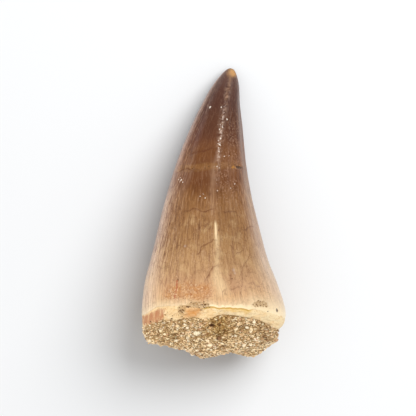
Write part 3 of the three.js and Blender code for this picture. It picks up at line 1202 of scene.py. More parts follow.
    def join(self, vertices: Array, count: int) -> bpy.types.Mesh:
        """Joins the rings into a closed surface with two finishes.

        Args:
            vertices: The tip, the rings and the hollow's end.
            count: How many rings there are.

        Returns:
            The mesh.
        """
        around = self.around
        step = np.arange(around)
        ring = 1 + np.arange(count)[:, None] * around
        here, there = ring + step, ring + (step + 1) % around
        quads = np.stack([here[:-1], there[:-1], there[1:], here[1:]], axis=-1).reshape(-1, 4)
        tip = np.stack([0 * step, there[0], here[0]], axis=-1)
        end = np.stack([0 * step + len(vertices) - 1, here[-1], there[-1]], axis=-1)
        mesh = bpy.data.meshes.new("tooth_crown")
        mesh.from_pydata((vertices * MM).tolist(), [], [*tip.tolist(), *quads.tolist(), *end.tolist()])
        finish = np.arange(len(mesh.polygons)) >= around * self.enamel_rows
        mesh.polygons.foreach_set("material_index", finish.astype(np.int32))
        smooth_faces(mesh)
        return mesh

    def build(self) -> bpy.types.Object:
        """Makes the crown and dresses it.

        Returns:
            The piece.
        """
        piece = make_object("tooth_crown", self.build_mesh())
        for finish in (EnamelFinish(), DentineFinish()):
            piece.data.materials.append(finish.build())
        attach(piece, BODY)
        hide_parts("crown")
        return report(piece)


@dataclass(frozen=True)
class Lump:
    """A broad lump, or a hollow where the height is below 0, of the rock's face."""

    x: float
    z: float
    radius: float
    height: float


@dataclass
class Rock:
    """The sandy rock that fills the hollow and bulges out of the break."""

    form: ToothForm
    reach: Pairs = (
        (0, 0.905), (20, 0.86), (60, 0.83), (90, 0.84), (105, 0.85), (125, 0.86), (145, 0.88),
        (160, 0.915), (175, 0.93), (190, 0.935), (210, 0.94), (270, 0.95), (310, 0.95), (340, 0.935),
    )
    edge: Pairs = (
        (0, -20.2), (20, -19.1), (40, -17.5), (60, -16.8), (82, -16.4), (95, -17.1), (110, -17.0),
        (130, -17.7), (150, -18.9), (165, -20.1), (180, -20.8), (200, -20.95), (225, -20.9), (250, -20.9),
        (270, -20.9), (300, -21.3), (325, -21.4), (345, -20.8),
    )
    face_y: float = -22.45
    fullness: float = 1.75
    rim_relief: float = 0.4
    rim_power: int = 6
    end_gap: float = 1.0
    end_power: int = 4
    lumps: tuple[Lump, ...] = (
        Lump(-1.1, 5.0, 2.2, 1.1), Lump(6.5, 5.4, 2.2, 1.35), Lump(2.4, 7.5, 1.4, -0.3),
        Lump(-7.4, 5.6, 2.6, -0.75), Lump(-7.8, 9.2, 1.7, -0.4), Lump(-4.7, 10.0, 1.1, -0.45),
        Lump(-3.0, 5.6, 1.2, 0.25), Lump(-4.6, 12.4, 1.7, 0.45), Lump(9.0, 6.4, 1.5, -0.55),
        Lump(1.0, 14.4, 1.6, -0.7), Lump(6.2, 12.4, 1.8, 0.35),
    )
    pebble_size: float = 1.6
    pebble_height: float = 0.6
    pebble_middle: float = 0.55
    face_share: float = 0.62
    side_share: float = 0.14
    side_depth: float = 1.0
    exposed_side: Pair = (0.6, 0.3)
    fineness: int = 7
    grit: float = 0.17
    grit_size: float = 0.62
    dust: float = 0.05
    dust_size: float = 0.35
    floor_gap: float = 0.02

    def relief(self, points: Array) -> Array:
        """How far the rock's face stands out beyond its dome.

        Args:
            points: Places on the rock's face.

        Returns:
            The height over the dome.
        """
        broad = 0.0
        for lump in self.lumps:
            away = np.hypot(points[..., 0] - lump.x, points[..., 2] - lump.z)
            broad = broad + lump.height * bell(away, lump.radius)
        return broad + self.pebble_height * (self.pebble_middle - pebble_distance(points / self.pebble_size))

    def fine_relief(self, points: Array) -> Array:
        """The rough skin of sand between the larger lumps."""
        grit = self.grit * (self.pebble_middle - pebble_distance(points / self.grit_size + 5))
        return grit + self.dust * soft_noise(points / self.dust_size, Salt.DUST, 2)

    def place(self, directions: Array) -> tuple[Array, Array]:
        """Puts each direction from the rock's middle on its surface.

        Args:
            directions: Unit vectors. -Y is the middle of the face, and +Y is deep in the hollow.

        Returns:
            The points, and how fully each is exposed, from 0 to 1.
        """
        form = self.form
        degrees = np.degrees(np.arctan2(directions[:, 2], directions[:, 0])) % 360
        turn = np.arccos(np.clip(-directions[:, 1], -1, 1)) / math.pi
        reach, edge = (RingCurve(pairs)(degrees) for pairs in (self.reach, self.edge))
        inside = form.break_edge_ring(degrees) + self.side_depth

        share = np.clip(turn / self.face_share, 0, 1)
        face = form.section_point(degrees, between(self.face_y, edge, share**self.fullness), reach * share)
        calm = between(1, self.rim_relief, share**self.rim_power)
        face[:, 1] -= self.relief(face) * calm + self.fine_relief(face)

        down = np.clip((turn - self.face_share) / self.side_share, 0, 1)
        side = form.section_point(degrees, between(edge, inside, down), reach)
        side[:, 1] -= self.fine_relief(side) * (1 - down)

        back = np.clip((1 - turn) / (1 - self.face_share - self.side_share), 0, 1)
        depth = between(form.hollow_end + self.end_gap, inside, back**self.end_power)
        end = form.section_point(degrees, depth, reach * back)
        on_face = turn < self.face_share
        on_side = turn < self.face_share + self.side_share
        points = np.where(on_face[:, None], face, np.where(on_side[:, None], side, end))
        points[:, 2] = np.maximum(points[:, 2], self.floor_gap)
        return points, np.where(on_face, 1, smoothstep(down, *self.exposed_side))

    def build_mesh(self) -> bpy.types.Mesh:
        """Shapes a ball into the rock.

        Returns:
            The mesh, with a number that says how exposed each vertex is.
        """
        ball = bmesh.new()
        bmesh.ops.create_icosphere(ball, subdivisions=self.fineness, radius=1.0)
        mesh = bpy.data.meshes.new("matrix_rock")
        ball.to_mesh(mesh)
        ball.free()
        points, exposed = self.place(read_points(mesh))
        move_points(mesh, points * MM)
        smooth_faces(mesh)
        set_numbers(mesh, "exposed", exposed)
        return mesh

    def build(self) -> bpy.types.Object:
        """Makes the rock and dresses it.

        Returns:
            The piece.
        """
        piece = make_object("matrix_rock", self.build_mesh())
        piece.data.materials.append(RockFinish().build())
        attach(piece, BODY)
        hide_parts("matrix")
        return report(piece)


class Draw(IntEnum):
    """Which of a grain's random numbers is drawn."""

    TURN = 1
    SIZE = 2
    SHAPE = 3
    TINT = 4


@dataclass(frozen=True)
class GrainLayer:
    """One size of grain, cemented all over a ground."""

    name: str
    spacing: float
    smallest: float
    largest: float
    share: str = "exposed"
    fineness: int = 1
    roughen: float = 0.3
    flatness: float = 0.6
    longest: float = 1.4
    lean: float = 0.9
    crowd: float = 3.0
    roughness_scale: float = 0.6
    seed: int = 1

    def sizes(self) -> dict[str, float]:
        """Gathers what the tree's named inputs are set to.

        Returns:
            The values by name, with lengths in metres.
        """
        return {
            "Spacing": self.spacing * MM,
            "Smallest": self.smallest * MM,
            "Largest": self.largest * MM,
            "Roughen": self.roughen * self.largest * MM,
            "Flatness": self.flatness,
            "Longest": self.longest,
        }

    def tree(self, material: bpy.types.Material) -> bpy.types.NodeTree:
        """Makes the tree that scatters the grains.

        Args:
            material: The grains' finish.

        Returns:
            A geometry tree with named inputs for its sizes.
        """
        tree = bpy.data.node_groups.new(self.name, "GeometryNodeTree")
        kinds = {"Geometry": "Geometry", **dict.fromkeys(self.sizes(), "Float"), "Seed": "Int"}
        for name, kind in kinds.items():
            tree.interface.new_socket(name, in_out="INPUT", socket_type=f"NodeSocket{kind}")
        tree.interface.new_socket("Geometry", in_out="OUTPUT", socket_type="NodeSocketGeometry")
        graph = Graph(tree)
        given = graph.node("NodeGroupInput")
        spacing, smallest = given.output("Spacing"), given.output("Smallest")
        share = graph.node("GeometryNodeInputNamedAttribute", {"data_type": "FLOAT"}, {"Name": self.share})
        most = graph.node("ShaderNodeMath", {"operation": "DIVIDE"}, {0: self.crowd, 1: spacing * spacing})
        points = graph.node(
            "GeometryNodeDistributePointsOnFaces",
            {"distribute_method": "POISSON"},
            {
                "Mesh": given.output("Geometry"),
                "Distance Min": spacing,
                "Density Max": most,
                "Density Factor": share,
                "Seed": given.output("Seed"),
            },
        )
        turn = (math.pi, self.lean, self.lean)
        turn = self._random(graph, "FLOAT_VECTOR", tuple(-angle for angle in turn), turn, Draw.TURN)
        size = self._random(graph, "FLOAT", 0.0, 1.0, Draw.SIZE)
        size = smallest + (given.output("Largest") - smallest) * size * size
        flat, long = given.output("Flatness"), given.output("Longest")
        low = graph.node("ShaderNodeCombineXYZ", {}, {"X": 1.0, "Y": flat, "Z": flat})
        high = graph.node("ShaderNodeCombineXYZ", {}, {"X": long, "Y": 1.0, "Z": 1.0})
        shape = self._random(graph, "FLOAT_VECTOR", low, high, Draw.SHAPE)
        grain = {"Radius": 1.0, "Subdivisions": self.fineness}
        placed = {
            "Points": points,
            "Instance": graph.node("GeometryNodeMeshIcoSphere", {}, grain),
            "Rotation": graph.node("FunctionNodeEulerToRotation", {}, {"Euler": turn}),
            "Scale": shape * size,
        }
        tinted = {
            "Geometry": graph.node("GeometryNodeInstanceOnPoints", {}, placed),
            "Name": "tint",
            "Value": self._random(graph, "FLOAT", 0.0, 1.0, Draw.TINT),
        }
        stored = {"data_type": "FLOAT", "domain": "INSTANCE"}
        grains = graph.node("GeometryNodeStoreNamedAttribute", stored, tinted)
        solid = graph.node("GeometryNodeRealizeInstances", {}, {"Geometry": grains})
        scale = self.roughness_scale / (self.largest * MM)
        bumps = {"Vector": graph.node("GeometryNodeInputPosition"), "Scale": scale, "Detail": 1.0}
        offset = graph.node("ShaderNodeTexNoise", {}, bumps).output("Color").around(given.output("Roughen"))
        rough = graph.node("GeometryNodeSetPosition", {}, {"Geometry": solid, "Offset": offset})
        dressed = graph.node("GeometryNodeSetMaterial", {}, {"Geometry": rough, "Material": material})
        graph.node("NodeGroupOutput", {}, {"Geometry": dressed})
        return tree

    def _random(self, graph: Graph, data_type: str, low: Any, high: Any, draw: Draw) -> Value:
        """A random value for each grain."""
        inputs = {"Min": low, "Max": high, "Seed": 10 * self.seed + draw}
        return graph.node("FunctionNodeRandomValue", {"data_type": data_type}, inputs)

    def build(self, ground: bpy.types.Mesh, material: bpy.types.Material) -> bpy.types.Object:
        """Scatters the grains and makes them one plain mesh.

        Args:
            ground: The mesh that they stand on.
            material: Their finish.

        Returns:
            The piece.
        """
        carrier = make_object(f"{self.name}_ground", ground)
        modifier = carrier.modifiers.new(self.name, "NODES")
        modifier.node_group = self.tree(material)
        values = self.sizes() | {"Seed": self.seed}
        for socket in modifier.node_group.interface.items_tree:
            if socket.in_out == "INPUT" and socket.name in values:
                modifier[socket.identifier] = values[socket.name]
        evaluated = carrier.evaluated_get(bpy.context.evaluated_depsgraph_get())
        mesh = bpy.data.meshes.new_from_object(evaluated)
        bpy.data.objects.remove(carrier)
        mesh.name = self.name
        piece = make_object(self.name, mesh)
        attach(piece, BODY)
        return report(piece)


MATRIX_SAND = GrainLayer(
    "matrix_sand", 0.28, 0.11, 0.215, roughen=0.5, flatness=0.42, longest=2.0, lean=0.6, seed=3
)
MATRIX_GRIT = GrainLayer("matrix_grit", 0.8, 0.2, 0.34, fineness=2, roughen=0.45, flatness=0.5, seed=5)
RIM_SAND = GrainLayer("rim_sand", 0.25, 0.08, 0.2, "sand_share", roughen=0.5, seed=6)
WALL_SAND = GrainLayer(
    "wall_sand", 0.31, 0.12, 0.23, "wall_share", roughen=0.5, flatness=0.45, longest=1.8, lean=0.6, seed=7
)


@dataclass(frozen=True)
class Nugget:
    """One large grain at (x, y), seen from above, with its half sizes, its tint and its turn in degrees."""

    x: float
    y: float
    sizes: Triple
    tint: float
    turn: float


@dataclass(frozen=True)
class NuggetLayer:
    """The large grains that have a set place."""

    nuggets: tuple[Nugget, ...] = (
        Nugget(-2.55, -19.0, (0.62, 0.55, 0.4), 1.0, 20),
        Nugget(-4.1, -18.25, (0.28, 0.22, 0.2), 0.84, 30),
        Nugget(-4.05, -19.8, (0.32, 0.22, 0.2), 0.83, -10),
        Nugget(-5.4, -20.2, (0.34, 0.16, 0.15), 0.93, 15),
        Nugget(4.9, -21.0, (0.42, 0.34, 0.3), 0.8, 40),
        Nugget(3.6, -18.4, (0.36, 0.32, 0.3), 0.72, 0),
        Nugget(2.6, -19.3, (0.4, 0.3, 0.3), 0.7, 50),
        Nugget(-7.6, -19.3, (0.4, 0.2, 0.2), 0.8, 10),
        Nugget(6.0, -18.9, (0.3, 0.2, 0.2), 0.78, 70),
        Nugget(1.7, -17.6, (0.16, 0.3, 0.2), 0.85, 20),
        Nugget(-0.6, -21.0, (0.5, 0.3, 0.3), 0.76, 0),
    )
    sunk: float = 0.35
    roughness: float = 0.05
    roughness_size: float = 0.3
    fineness: int = 3
    start_height: float = 30

    def build(self, ground: bpy.types.Object, material: bpy.types.Material) -> bpy.types.Object:
        """Sets each grain on the ground under its place.

        Args:
            ground: The rock.
            material: The grains' finish.

        Returns:
            The piece.
        """
        surface = BVHTree.FromObject(ground, bpy.context.evaluated_depsgraph_get())
        grains = bmesh.new()
        tints: list[float] = []
        for nugget in self.nuggets:
            above = Vector((nugget.x, nugget.y, self.start_height)) * MM
            hit = surface.ray_cast(above, Vector((0, 0, -1)))[0]
            middle = Matrix.Translation(hit - Vector((0, 0, nugget.sizes[2] * self.sunk * MM)))
            spin = Matrix.Rotation(math.radians(nugget.turn), 4, "Z")
            place = middle @ spin @ Matrix.Diagonal((*(Vector(nugget.sizes) * MM), 1))
            made = bmesh.ops.create_icosphere(grains, subdivisions=self.fineness, radius=1.0, matrix=place)
            tints += [nugget.tint] * len(made["verts"])
        mesh = bpy.data.meshes.new("matrix_nuggets")
        grains.to_mesh(mesh)
        grains.free()
        points = read_points(mesh)
        salts = (Salt.NUGGET_X, Salt.NUGGET_Y, Salt.NUGGET_Z)
        strays = [soft_noise(points / MM / self.roughness_size, salt, 2) for salt in salts]
        move_points(mesh, points + self.roughness * MM * np.stack(strays, axis=-1))
        set_numbers(mesh, "tint", np.array(tints))
        mesh.materials.append(material)
        piece = make_object("matrix_nuggets", mesh)
        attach(piece, BODY)
        return report(piece)


# ---------- finishes ----------


class EnamelCoats(Finish):
    """The enamel under construction, with the patterns that its coats share."""

    def __init__(self) -> None:
        """Makes the shared patterns."""
        super().__init__("enamel")
        self.turn = self.attribute("turn")
        self.flank = abs(self.turn)
        self.keel = self.attribute("keel_side")
        self.low = self.y.rise(3.5, -3.0)
        self.broad = self.noise(0.35, 3.0)
        self.grain = self.noise(3.2, 4.0, 0.65)
        self.dots = self.noise(3.6, 3.0, 0.6)
        self.striae = self.node("ShaderNodeAttribute", {"attribute_name": "striae"}).output("Vector")
        self.wavy = self.striae + self.noise(0.7).output("Color").around(0.45)
        self.fine = self.noise(1.0, 2.0, 0.65, self.wavy * (1.3, 1.3, 0.32))
        self.other = self.noise(1.0, 2.0, 0.6, self.wavy * (2.1, 2.1, 0.42) + (7.3, 2.1, 4.4))


@dataclass(frozen=True)
class EnamelFinish:
    """Glossy brown fossil enamel, paler towards the base, with lengthwise striae, cracks and stains."""

    tones: Tones = (
        (-18.0, "f0d3a4"), (-16.0, "e8c897"), (-14.3, "d8b081"), (-13.0, "d2a577"), (-11.6, "c99d73"),
        (-8.4, "ba9164"), (-5.2, "ae8456"), (-1.8, "9e7347"), (2.0, "95683d"), (5.2, "7d4e2b"),
        (6.6, "825434"), (8.6, "865733"), (9.4, "82532f"), (12.0, "693e26"), (14.8, "603a27"),
        (18.0, "583427"), (20.6, "5e3c30"), (23.0, "6a463a"),
    )
    band: str = "a67a49"
    # painted sheen: the pale colour of the flanks low down, where they turn away and reflect the surroundings
    flank: str = "e0c4ae"
    # painted sheen: the flanks' colour near the tip
    tip_flank_sheen: str = "9a7056"
    heart: str = "e7ddcb"
    # painted shade: darkens the upper left flank near the tip against the sheen it reflects
    left_painted_shade: str = "f4ca88"
    right_warmth: str = "f0e2c6"
    clear: str = "dcbc88"
    # painted light: the pale colour along the upper left edge, as a light from the side would give
    painted_rim_light: str = "dcb8a2"
    dark_line: str = "84462a"
    red_line: str = "8c4024"
    pale_line: str = "eac6a4"
    mottle: str = "96552c"
    speckle: str = "c9a184"
    cream: str = "fbe6bd"
    orange: str = "c08750"
    burnt: str = "9c5a2c"
    sand: str = "a07848"
    red: str = "a84c2a"
    rust: str = "b06a3c"
    # pale pinkish white of the spots, which on the right pair is a painted glint
    milk_glint: str = "cfbbb0"
    ridge: str = "e8c99a"
    # paler keel crest: rubbed enamel and a painted glint line along it
    crest: str = "b08f78"
    # painted highlight: the colour of a lamp's reflection beside the keel
    streak: str = "f9dcae"
    crack: str = "6a3617"
    glint: str = "bd8238"
    pit: str = "4c2c10"
    keel: str = "dcc2b2"
    soft: str = "c8a080"
    # near-white of chipped enamel, and a painted glint where light catches the chips
    chip_glint: str = "fdeedd"
    amber: str = "b98b60"
    honey: str = "e0a760"
    ridge_under: float = 0.78
    ridge_over: float = 0.5
    gloss: float = 0.24
    ior: float = 1.46
    specular: float = 0.38
    relief_depth: float = 0.035

    def build(self) -> bpy.types.Material:
        """Makes the material, coat by coat.

        Returns:
            The material.
        """
        f = EnamelCoats()
        self.lay_ground(f)
        self.lay_sides(f)
        ridge = self.lay_ridge(f)
        self.lay_lines(f)
        f.coat(ridge * self.ridge_over, self.ridge)
        self.lay_specks(f)
        self.lay_nets(f)
        self.lay_stains(f)
        self.lay_edge(f)
        self.lay_keel(f)
        line = self.lay_cracks(f)
        self.lay_chips(f)
        worn = self.wear_tip(f)
        relief = f.fine * (0.3 + f.flank * 0.4) + f.other * (0.2 + f.flank * 0.3) + f.grain * 0.25
        relief = relief + (1 - line) * 0.5
        roughness = self.gloss + f.grain * 0.12 + line * 0.3 + worn * 0.15
        f.close(roughness, relief, self.relief_depth, IOR=self.ior, Specular_IOR_Level=self.specular)
        return f.material

    def lay_ground(self, f: EnamelCoats) -> None:
        """Lays the tones along the tooth, its pale band, a darker middle, and painted shade on its upper
        left.

        Args:
            f: The enamel's layers.
        """
        f.colour = f.tones(f.y + f.broad.around(2.4), self.tones)
        tilted = abs(f.y - f.x * 0.075 - 7.4 + f.broad.around(0.6) + f.grain.around(0.5))
        f.coat(tilted.rise(0.8, 0.3) * (0.55 - f.x.rise(0.0, 2.0) * 0.25), self.band)
        f.glaze(abs(f.x + 1.2).rise(4.2, 1.0) * f.y.span(-0.5, 3.5, 8.5, 11.5), self.heart)
        # painted shade on the upper left flank near the tip
        f.glaze(f.turn.rise(-0.36, -0.62) * f.y.span(9.5, 12.5, 18.0, 22.5), self.left_painted_shade)

    def lay_sides(self, f: EnamelCoats) -> None:
        """Paints a pale sheen of reflected light on the flanks and the lower left edge, and painted light
        along the upper left edge; pales the lower half, with a painted cream sheen on its flanks; and warms
        the right side.

        Args:
            f: The enamel's layers.
        """
        # painted sheen: the flanks and the lower left edge lightened as if they reflect bright surroundings
        side = f.mix(f.y.rise(1.5, 9.0), paint(self.flank), paint(self.tip_flank_sheen))
        left_edge_sheen = f.turn.rise(-0.7, -0.98) * f.y.rise(6.0, 3.0) * 0.16
        share = f.flank.rise(0.72, 1.0) * (0.5 - f.y.rise(6.0, 20.0) * 0.35) + left_edge_sheen
        f.colour = f.mix(share, f.colour, side)
        # paler cream on the lower flanks: the base's own cream, with a painted sheen at the sides
        f.coat(f.flank.rise(0.6, 1.0) * f.y.rise(-4.0, -13.0) * (0.32 + f.turn * 0.07), self.cream)
        f.coat(f.noise(0.42, 3.0, 0.55).rise(0.53, 0.66) * f.low * 0.25, self.clear)
        f.coat(f.x.rise(0.5, 5.0) * f.y.rise(-7.0, -12.5) * 0.12, self.pale_line)
        # painted light: a pale band along the upper left edge
        f.coat(f.turn.rise(-0.78, -0.97) * f.y.rise(4.0, 9.0) * 0.42, self.painted_rim_light)
        f.glaze(f.turn.rise(0.55, 0.9) * f.y.span(-5.0, 2.0, 8.0, 14.0), self.right_warmth)

    def lay_ridge(self, f: EnamelCoats) -> Value:
        """Lays the pale ridge and the pale band beside the keel.

        Args:
            f: The enamel's layers.

        Returns:
            The ridge's share.
        """
        ridge = f.attribute("ridge") * (0.7 + f.grain.around(1.4))
        f.coat(ridge * self.ridge_under, self.ridge)
        f.coat(f.attribute("beside") * (0.05 + f.fine * 0.25), self.pale_line)
        return ridge

    def lay_lines(self, f: EnamelCoats) -> None:
        """Draws the fine lengthwise lines, which show most on the flanks, and a mottle between them.

        Args:
            f: The enamel's layers.
        """
        square = f.flank * f.flank
        lean = 0.28 + square * 0.24 + f.turn.rise(-0.4, -0.8) * f.y.rise(-12.0, -4.0) * 0.12
        lean = lean - f.turn.rise(0.2, 0.6) * f.low * 0.16
        lean = lean * (1 - (1 - square) * f.y.rise(0.0, 7.0) * 0.5) * (1 - f.y.rise(-6.0, -12.0) * 0.3)
        f.glaze(f.fine.rise(0.5, 0.62) * lean * 0.62, self.dark_line)
        f.glaze(f.other.rise(0.5, 0.6) * lean * 0.66, self.dark_line)
        pale = 0.4 + f.flank.rise(0.35, 0.8) * 0.15 - f.y.rise(5.0, 11.0) * 0.15
        f.coat(f.other.rise(0.47, 0.36) * lean * pale, self.pale_line)
        thin = f.noise(1.0, 1.0, 0.5, f.wavy * (1.6, 1.6, 0.35) + (3.0, 8.0, 1.0))
        f.glaze(abs(thin - 0.5).rise(0.04, 0.01) * lean * 0.9, self.red_line)
        f.glaze(f.noise(1.0, 3.0, 0.6, f.striae * 0.5 + (3.0, 1.0, 9.0)).rise(0.5, 0.68) * 0.16, self.mottle)
        f.glaze(f.grain.rise(0.54, 0.68) * (0.12 + f.low * 0.12), self.mottle)
        f.coat(f.grain.rise(0.44, 0.3) * (0.06 + f.low * 0.12), self.pale_line)

    def lay_specks(self, f: EnamelCoats) -> None:
        """Scatters pale and dark specks right of the keel.

        Args:
            f: The enamel's layers.
        """
        share = f.keel.span(-4.8, -3.0, -0.6, 0.4) * f.y.span(-0.5, 2.5, 12.0, 17.0)
        share = share * f.noise(0.9, 2.0).rise(0.35, 0.6) * 0.36
        f.coat(f.dots.rise(0.5, 0.66) * share, self.speckle)
        f.glaze(f.dots.rise(0.45, 0.34) * share, self.dark_line)

    def lay_nets(self, f: EnamelCoats) -> None:
        """Draws two nets of the finest cracks on the lower half: a round one and a long one.

        Args:
            f: The enamel's layers.
        """
        edges = {"feature": "DISTANCE_TO_EDGE"}
        bent = f.place + f.noise(0.8, 3.0, 0.6).output("Color").around(2.2)
        net = f.node("ShaderNodeTexVoronoi", edges, {"Vector": bent, "Scale": 0.8}).rise(0.04, 0.01)
        f.glaze(net * f.noise(0.5, 2.0).rise(0.42, 0.6) * f.low * 0.32, self.dark_line)
        along = f.wavy + (0.5, 0.2, 0.7)
        net = f.node("ShaderNodeTexVoronoi", edges, {"Vector": along, "Scale": 0.7}).rise(0.05, 0.015)
        f.glaze(net * f.noise(0.6, 2.0).rise(0.5, 0.62) * f.low * 0.35, self.dark_line)

    def lay_stains(self, f: EnamelCoats) -> None:
        """Lays the orange and red stains, and the pale spots, of which the right pair is a painted glint.

        Args:
            f: The enamel's layers.
        """
        wobble = f.noise(1.1, 4.0, 0.65).around(2.2)
        f.stain("orange_stain", wobble, 0.9, self.orange, f.noise(0.9, 4.0, 0.7).rise(0.4, 0.66) * 0.9)
        veins = abs(f.noise(1.5, 3.0, 0.6) - 0.5).rise(0.035, 0.0) + f.grain.rise(0.54, 0.68) * 0.9
        f.stain("orange_stain", wobble, 0.6, self.burnt, veins * 0.65)
        f.stain("orange_stain", wobble, 0.6, self.cream, f.grain.rise(0.45, 0.3) * 0.5)
        f.stain("under_stain", wobble, 0.6, self.orange, 0.5)
        f.stain("red_streak", f.grain.around(0.44), 0.08, self.red, f.fine.rise(0.3, 0.5) * 0.85)
        f.stain("red_stain", f.grain.around(1.1), 0.15, self.rust, 0.8 - f.other.rise(0.45, 0.6) * 0.4)
        # pale spots; the right pair is a painted glint
        f.coat(f.attribute("milk_glint").rise(0.0, 0.9) * 0.45, self.milk_glint)

    def lay_edge(self, f: EnamelCoats) -> None:
        """Pales the enamel towards its lower edge, where sand lies on it too.

        Args:
            f: The enamel's layers.
        """
        edge = f.attribute("from_edge") * (1 - f.x.rise(0.0, 7.0) * 0.6) + f.grain.around(0.7)
        ledge, right = f.attribute("ledge"), f.x.rise(-5.0, 0.0)
        f.coat(edge.rise(1.5, 0.1) * (1 - ledge * 0.4) * (0.35 + right * 0.25), self.cream)
        # cream band at the enamel's very edge, strongest at the ledge, where it also paints the highlight on
        # the lip
        f.coat(edge.rise(0.45, 0.15) * (0.1 + right * 0.2 + ledge * 0.4), self.cream)
        f.coat((f.attribute("sand_share") + f.grain.around(1.2)).rise(0.3, 0.75) * 0.6, self.sand)

    def lay_keel(self, f: EnamelCoats) -> None:
        """Paints the keel's crest pale, as rubbed enamel with a painted glint line along it, and lays a
        painted highlight line beside it.

        Args:
            f: The enamel's layers.
        """
        # painted glint line along the keel crest, on rubbed enamel
        crest = f.attribute("crest") * f.noise(1.6, 2.0).rise(0.42, 0.6)
        f.coat(crest * f.y.rise(3.0, 8.0) * 0.55, self.crest)
        # painted highlight: a narrow near-white line beside the keel
        f.coat(f.attribute("streak"), self.streak)

    def lay_cracks(self, f: EnamelCoats) -> Value:
        """Draws the hairline cracks.

        Args:
            f: The enamel's layers.

        Returns:
            The cracks' line.
        """
        shift = abs(f.attribute("crack_side") + f.grain.around(0.3) + f.noise(3.0, 2.0).around(0.3))
        near = f.attribute("crack_near")
        line = shift.rise(0.075, 0.02) * near
        f.glaze(shift.rise(0.3, 0.1) * near * 0.18, self.dark_line)
        f.coat(line * (0.7 + f.grain.around(1.6)), self.crack)
        return line

    def lay_chips(self, f: EnamelCoats) -> None:
        """Lays the glints, pits and chips, and the rubbed thread and specks along the keel; the chips and
        specks are near-white, partly chipped enamel and partly painted glints.

        Args:
            f: The enamel's layers.
        """
        rough = f.noise(4.0, 2.0, 0.6).around(1.6)
        f.coat((f.attribute("glint") + rough).rise(0.0, 0.4) * 0.75, self.glint)
        f.coat((f.attribute("pit") + rough * 0.5).rise(0.0, 0.4) * 0.9, self.pit)
        thread = abs(f.keel).rise(0.26, 0.06) * f.noise(2.4, 2.0).rise(0.46, 0.58)
        f.coat(thread * f.y.span(7.0, 10.0, 16.5, 18.5) * 0.45, self.keel)
        soft = abs(f.keel + f.noise(1.5, 2.0).around(0.5)).rise(0.3, 0.06)
        f.coat(soft * f.y.span(17.6, 18.6, 20.4, 21.4) * (0.1 + f.dots.rise(0.4, 0.6) * 0.25), self.soft)
        near = abs(f.keel - 0.05).rise(0.8, 0.0) * (0.55 + f.y.rise(4.0, 9.5) * 0.45)
        near = near * f.y.span(0.0, 3.0, 15.0, 19.0)
        # painted glints: near-white specks along the keel, partly chipped enamel
        keel_glint_flecks = (f.noise(3.6, 2.5, 0.55) + near * 0.16).rise(0.772, 0.82) * near.rise(0.0, 0.3)
        f.coat((f.attribute("chip_glint") + rough).rise(0.0, 0.4).most(keel_glint_flecks) * 0.85, self.chip_glint)

    def wear_tip(self, f: EnamelCoats) -> Value:
        """Wears the tip through to amber, with a trail down the keel.

        Args:
            f: The enamel's layers.

        Returns:
            The worn share.
        """
        fray, rubbed = f.noise(1.6, 3.0, 0.6) - 0.5, f.attribute("worn")
        away = (f.place * (1.0, 1.0, 0.0) - (3.0, 22.45, 0.0)).length()
        trail = (f.place * (1.0, 0.3, 0.0) - (2.75, 6.5, 0.0)).length() + fray * 0.5
        worn = (away + fray * 1.1).rise(1.15, 0.15) * rubbed.rise(0.0, 0.4)
        worn = worn.most(trail.rise(0.4, 0.0) * rubbed.rise(0.0, 0.2) * 0.5)
        tipped = (f.x - 2.5 + (f.y - 22.6) * 0.7 + fray).rise(-0.4, 0.5)
        f.colour = f.mix(worn * 0.9, f.colour, f.mix(tipped, paint(self.amber), paint(self.honey)))
        return worn


@dataclass(frozen=True)
class DentineFinish:
    """The cream dentine of the broken wall, with yellow and rust-red stains."""

    cream: str = "e9c896"
    white: str = "ecd4a8"
    yellow: str = "d6a24c"
    orange: str = "c9853e"
    rust: str = "ae6c44"
    sand: str = "a07848"
    # yellow-brown line under the enamel's ledge: a yellow stain with painted shadow of the overhanging edge
    ledge: str = "c0922f"
    thread: str = "dcae42"
    fleck: str = "cca878"
    rock: str = "9c7a4c"
    relief_depth: float = 0.08

    def build(self) -> bpy.types.Material:
        """Makes the dentine's material.

        Returns:
            The material.
        """
        f = Finish("dentine", paint(self.cream))
        grain = f.noise(2.8, 5.0, 0.65)
        f.coat((f.noise(0.7, 3.0) + f.x * 0.012).rise(0.38, 0.62), self.white)
        f.coat(grain.rise(0.52, 0.7) * 0.45, self.yellow)
        f.glaze(f.noise(3.6, 2.0, 0.6).rise(0.52, 0.62) * 0.32, self.fleck)
        fray = grain.around(1.2)
        f.stain("lip_stain", fray * 1.6, 0.9, self.orange, 0.9)
        upright = f.noise(1.0, 3.0, 0.6, f.place * (2.6, 0.5, 1.0))
        f.stain("red_stain", fray, 0.2, self.rust, 0.85 - upright.rise(0.45, 0.65) * 0.45)
        f.coat((f.attribute("sand_share") + fray).rise(0.3, 0.75) * 0.6, self.sand)
        f.coat((f.attribute("wall_share") + fray).rise(0.3, 0.7) * 0.9, self.rock)
        ledge, edge = f.attribute("ledge"), f.attribute("from_edge")
        # painted shadow under the overhanging enamel edge, on a yellow-brown stain
        f.coat(abs(edge + 0.12).rise(0.2, 0.05) * ledge * 0.85, self.ledge)
        thread = abs(edge + 0.45 + f.noise(1.2, 2.0).around(0.6)).rise(0.35, 0.05)
        f.coat(thread * ledge * f.x.rise(0.5, 2.5) * 0.4, self.thread)
        f.close(0.5 + grain * 0.2, grain, self.relief_depth)
        return f.material


@dataclass(frozen=True)
class Zone:
    """A round area of the rock, seen from above, with a tint: its own colour, or painted shade."""

    x: float
    y: float
    radius: float
    tint: str
    share: float


# How far a zone's edge strays, and how large its full middle is, as shares of its radius.
ZONE_FRAY = 1.6
ZONE_MIDDLE = 0.3

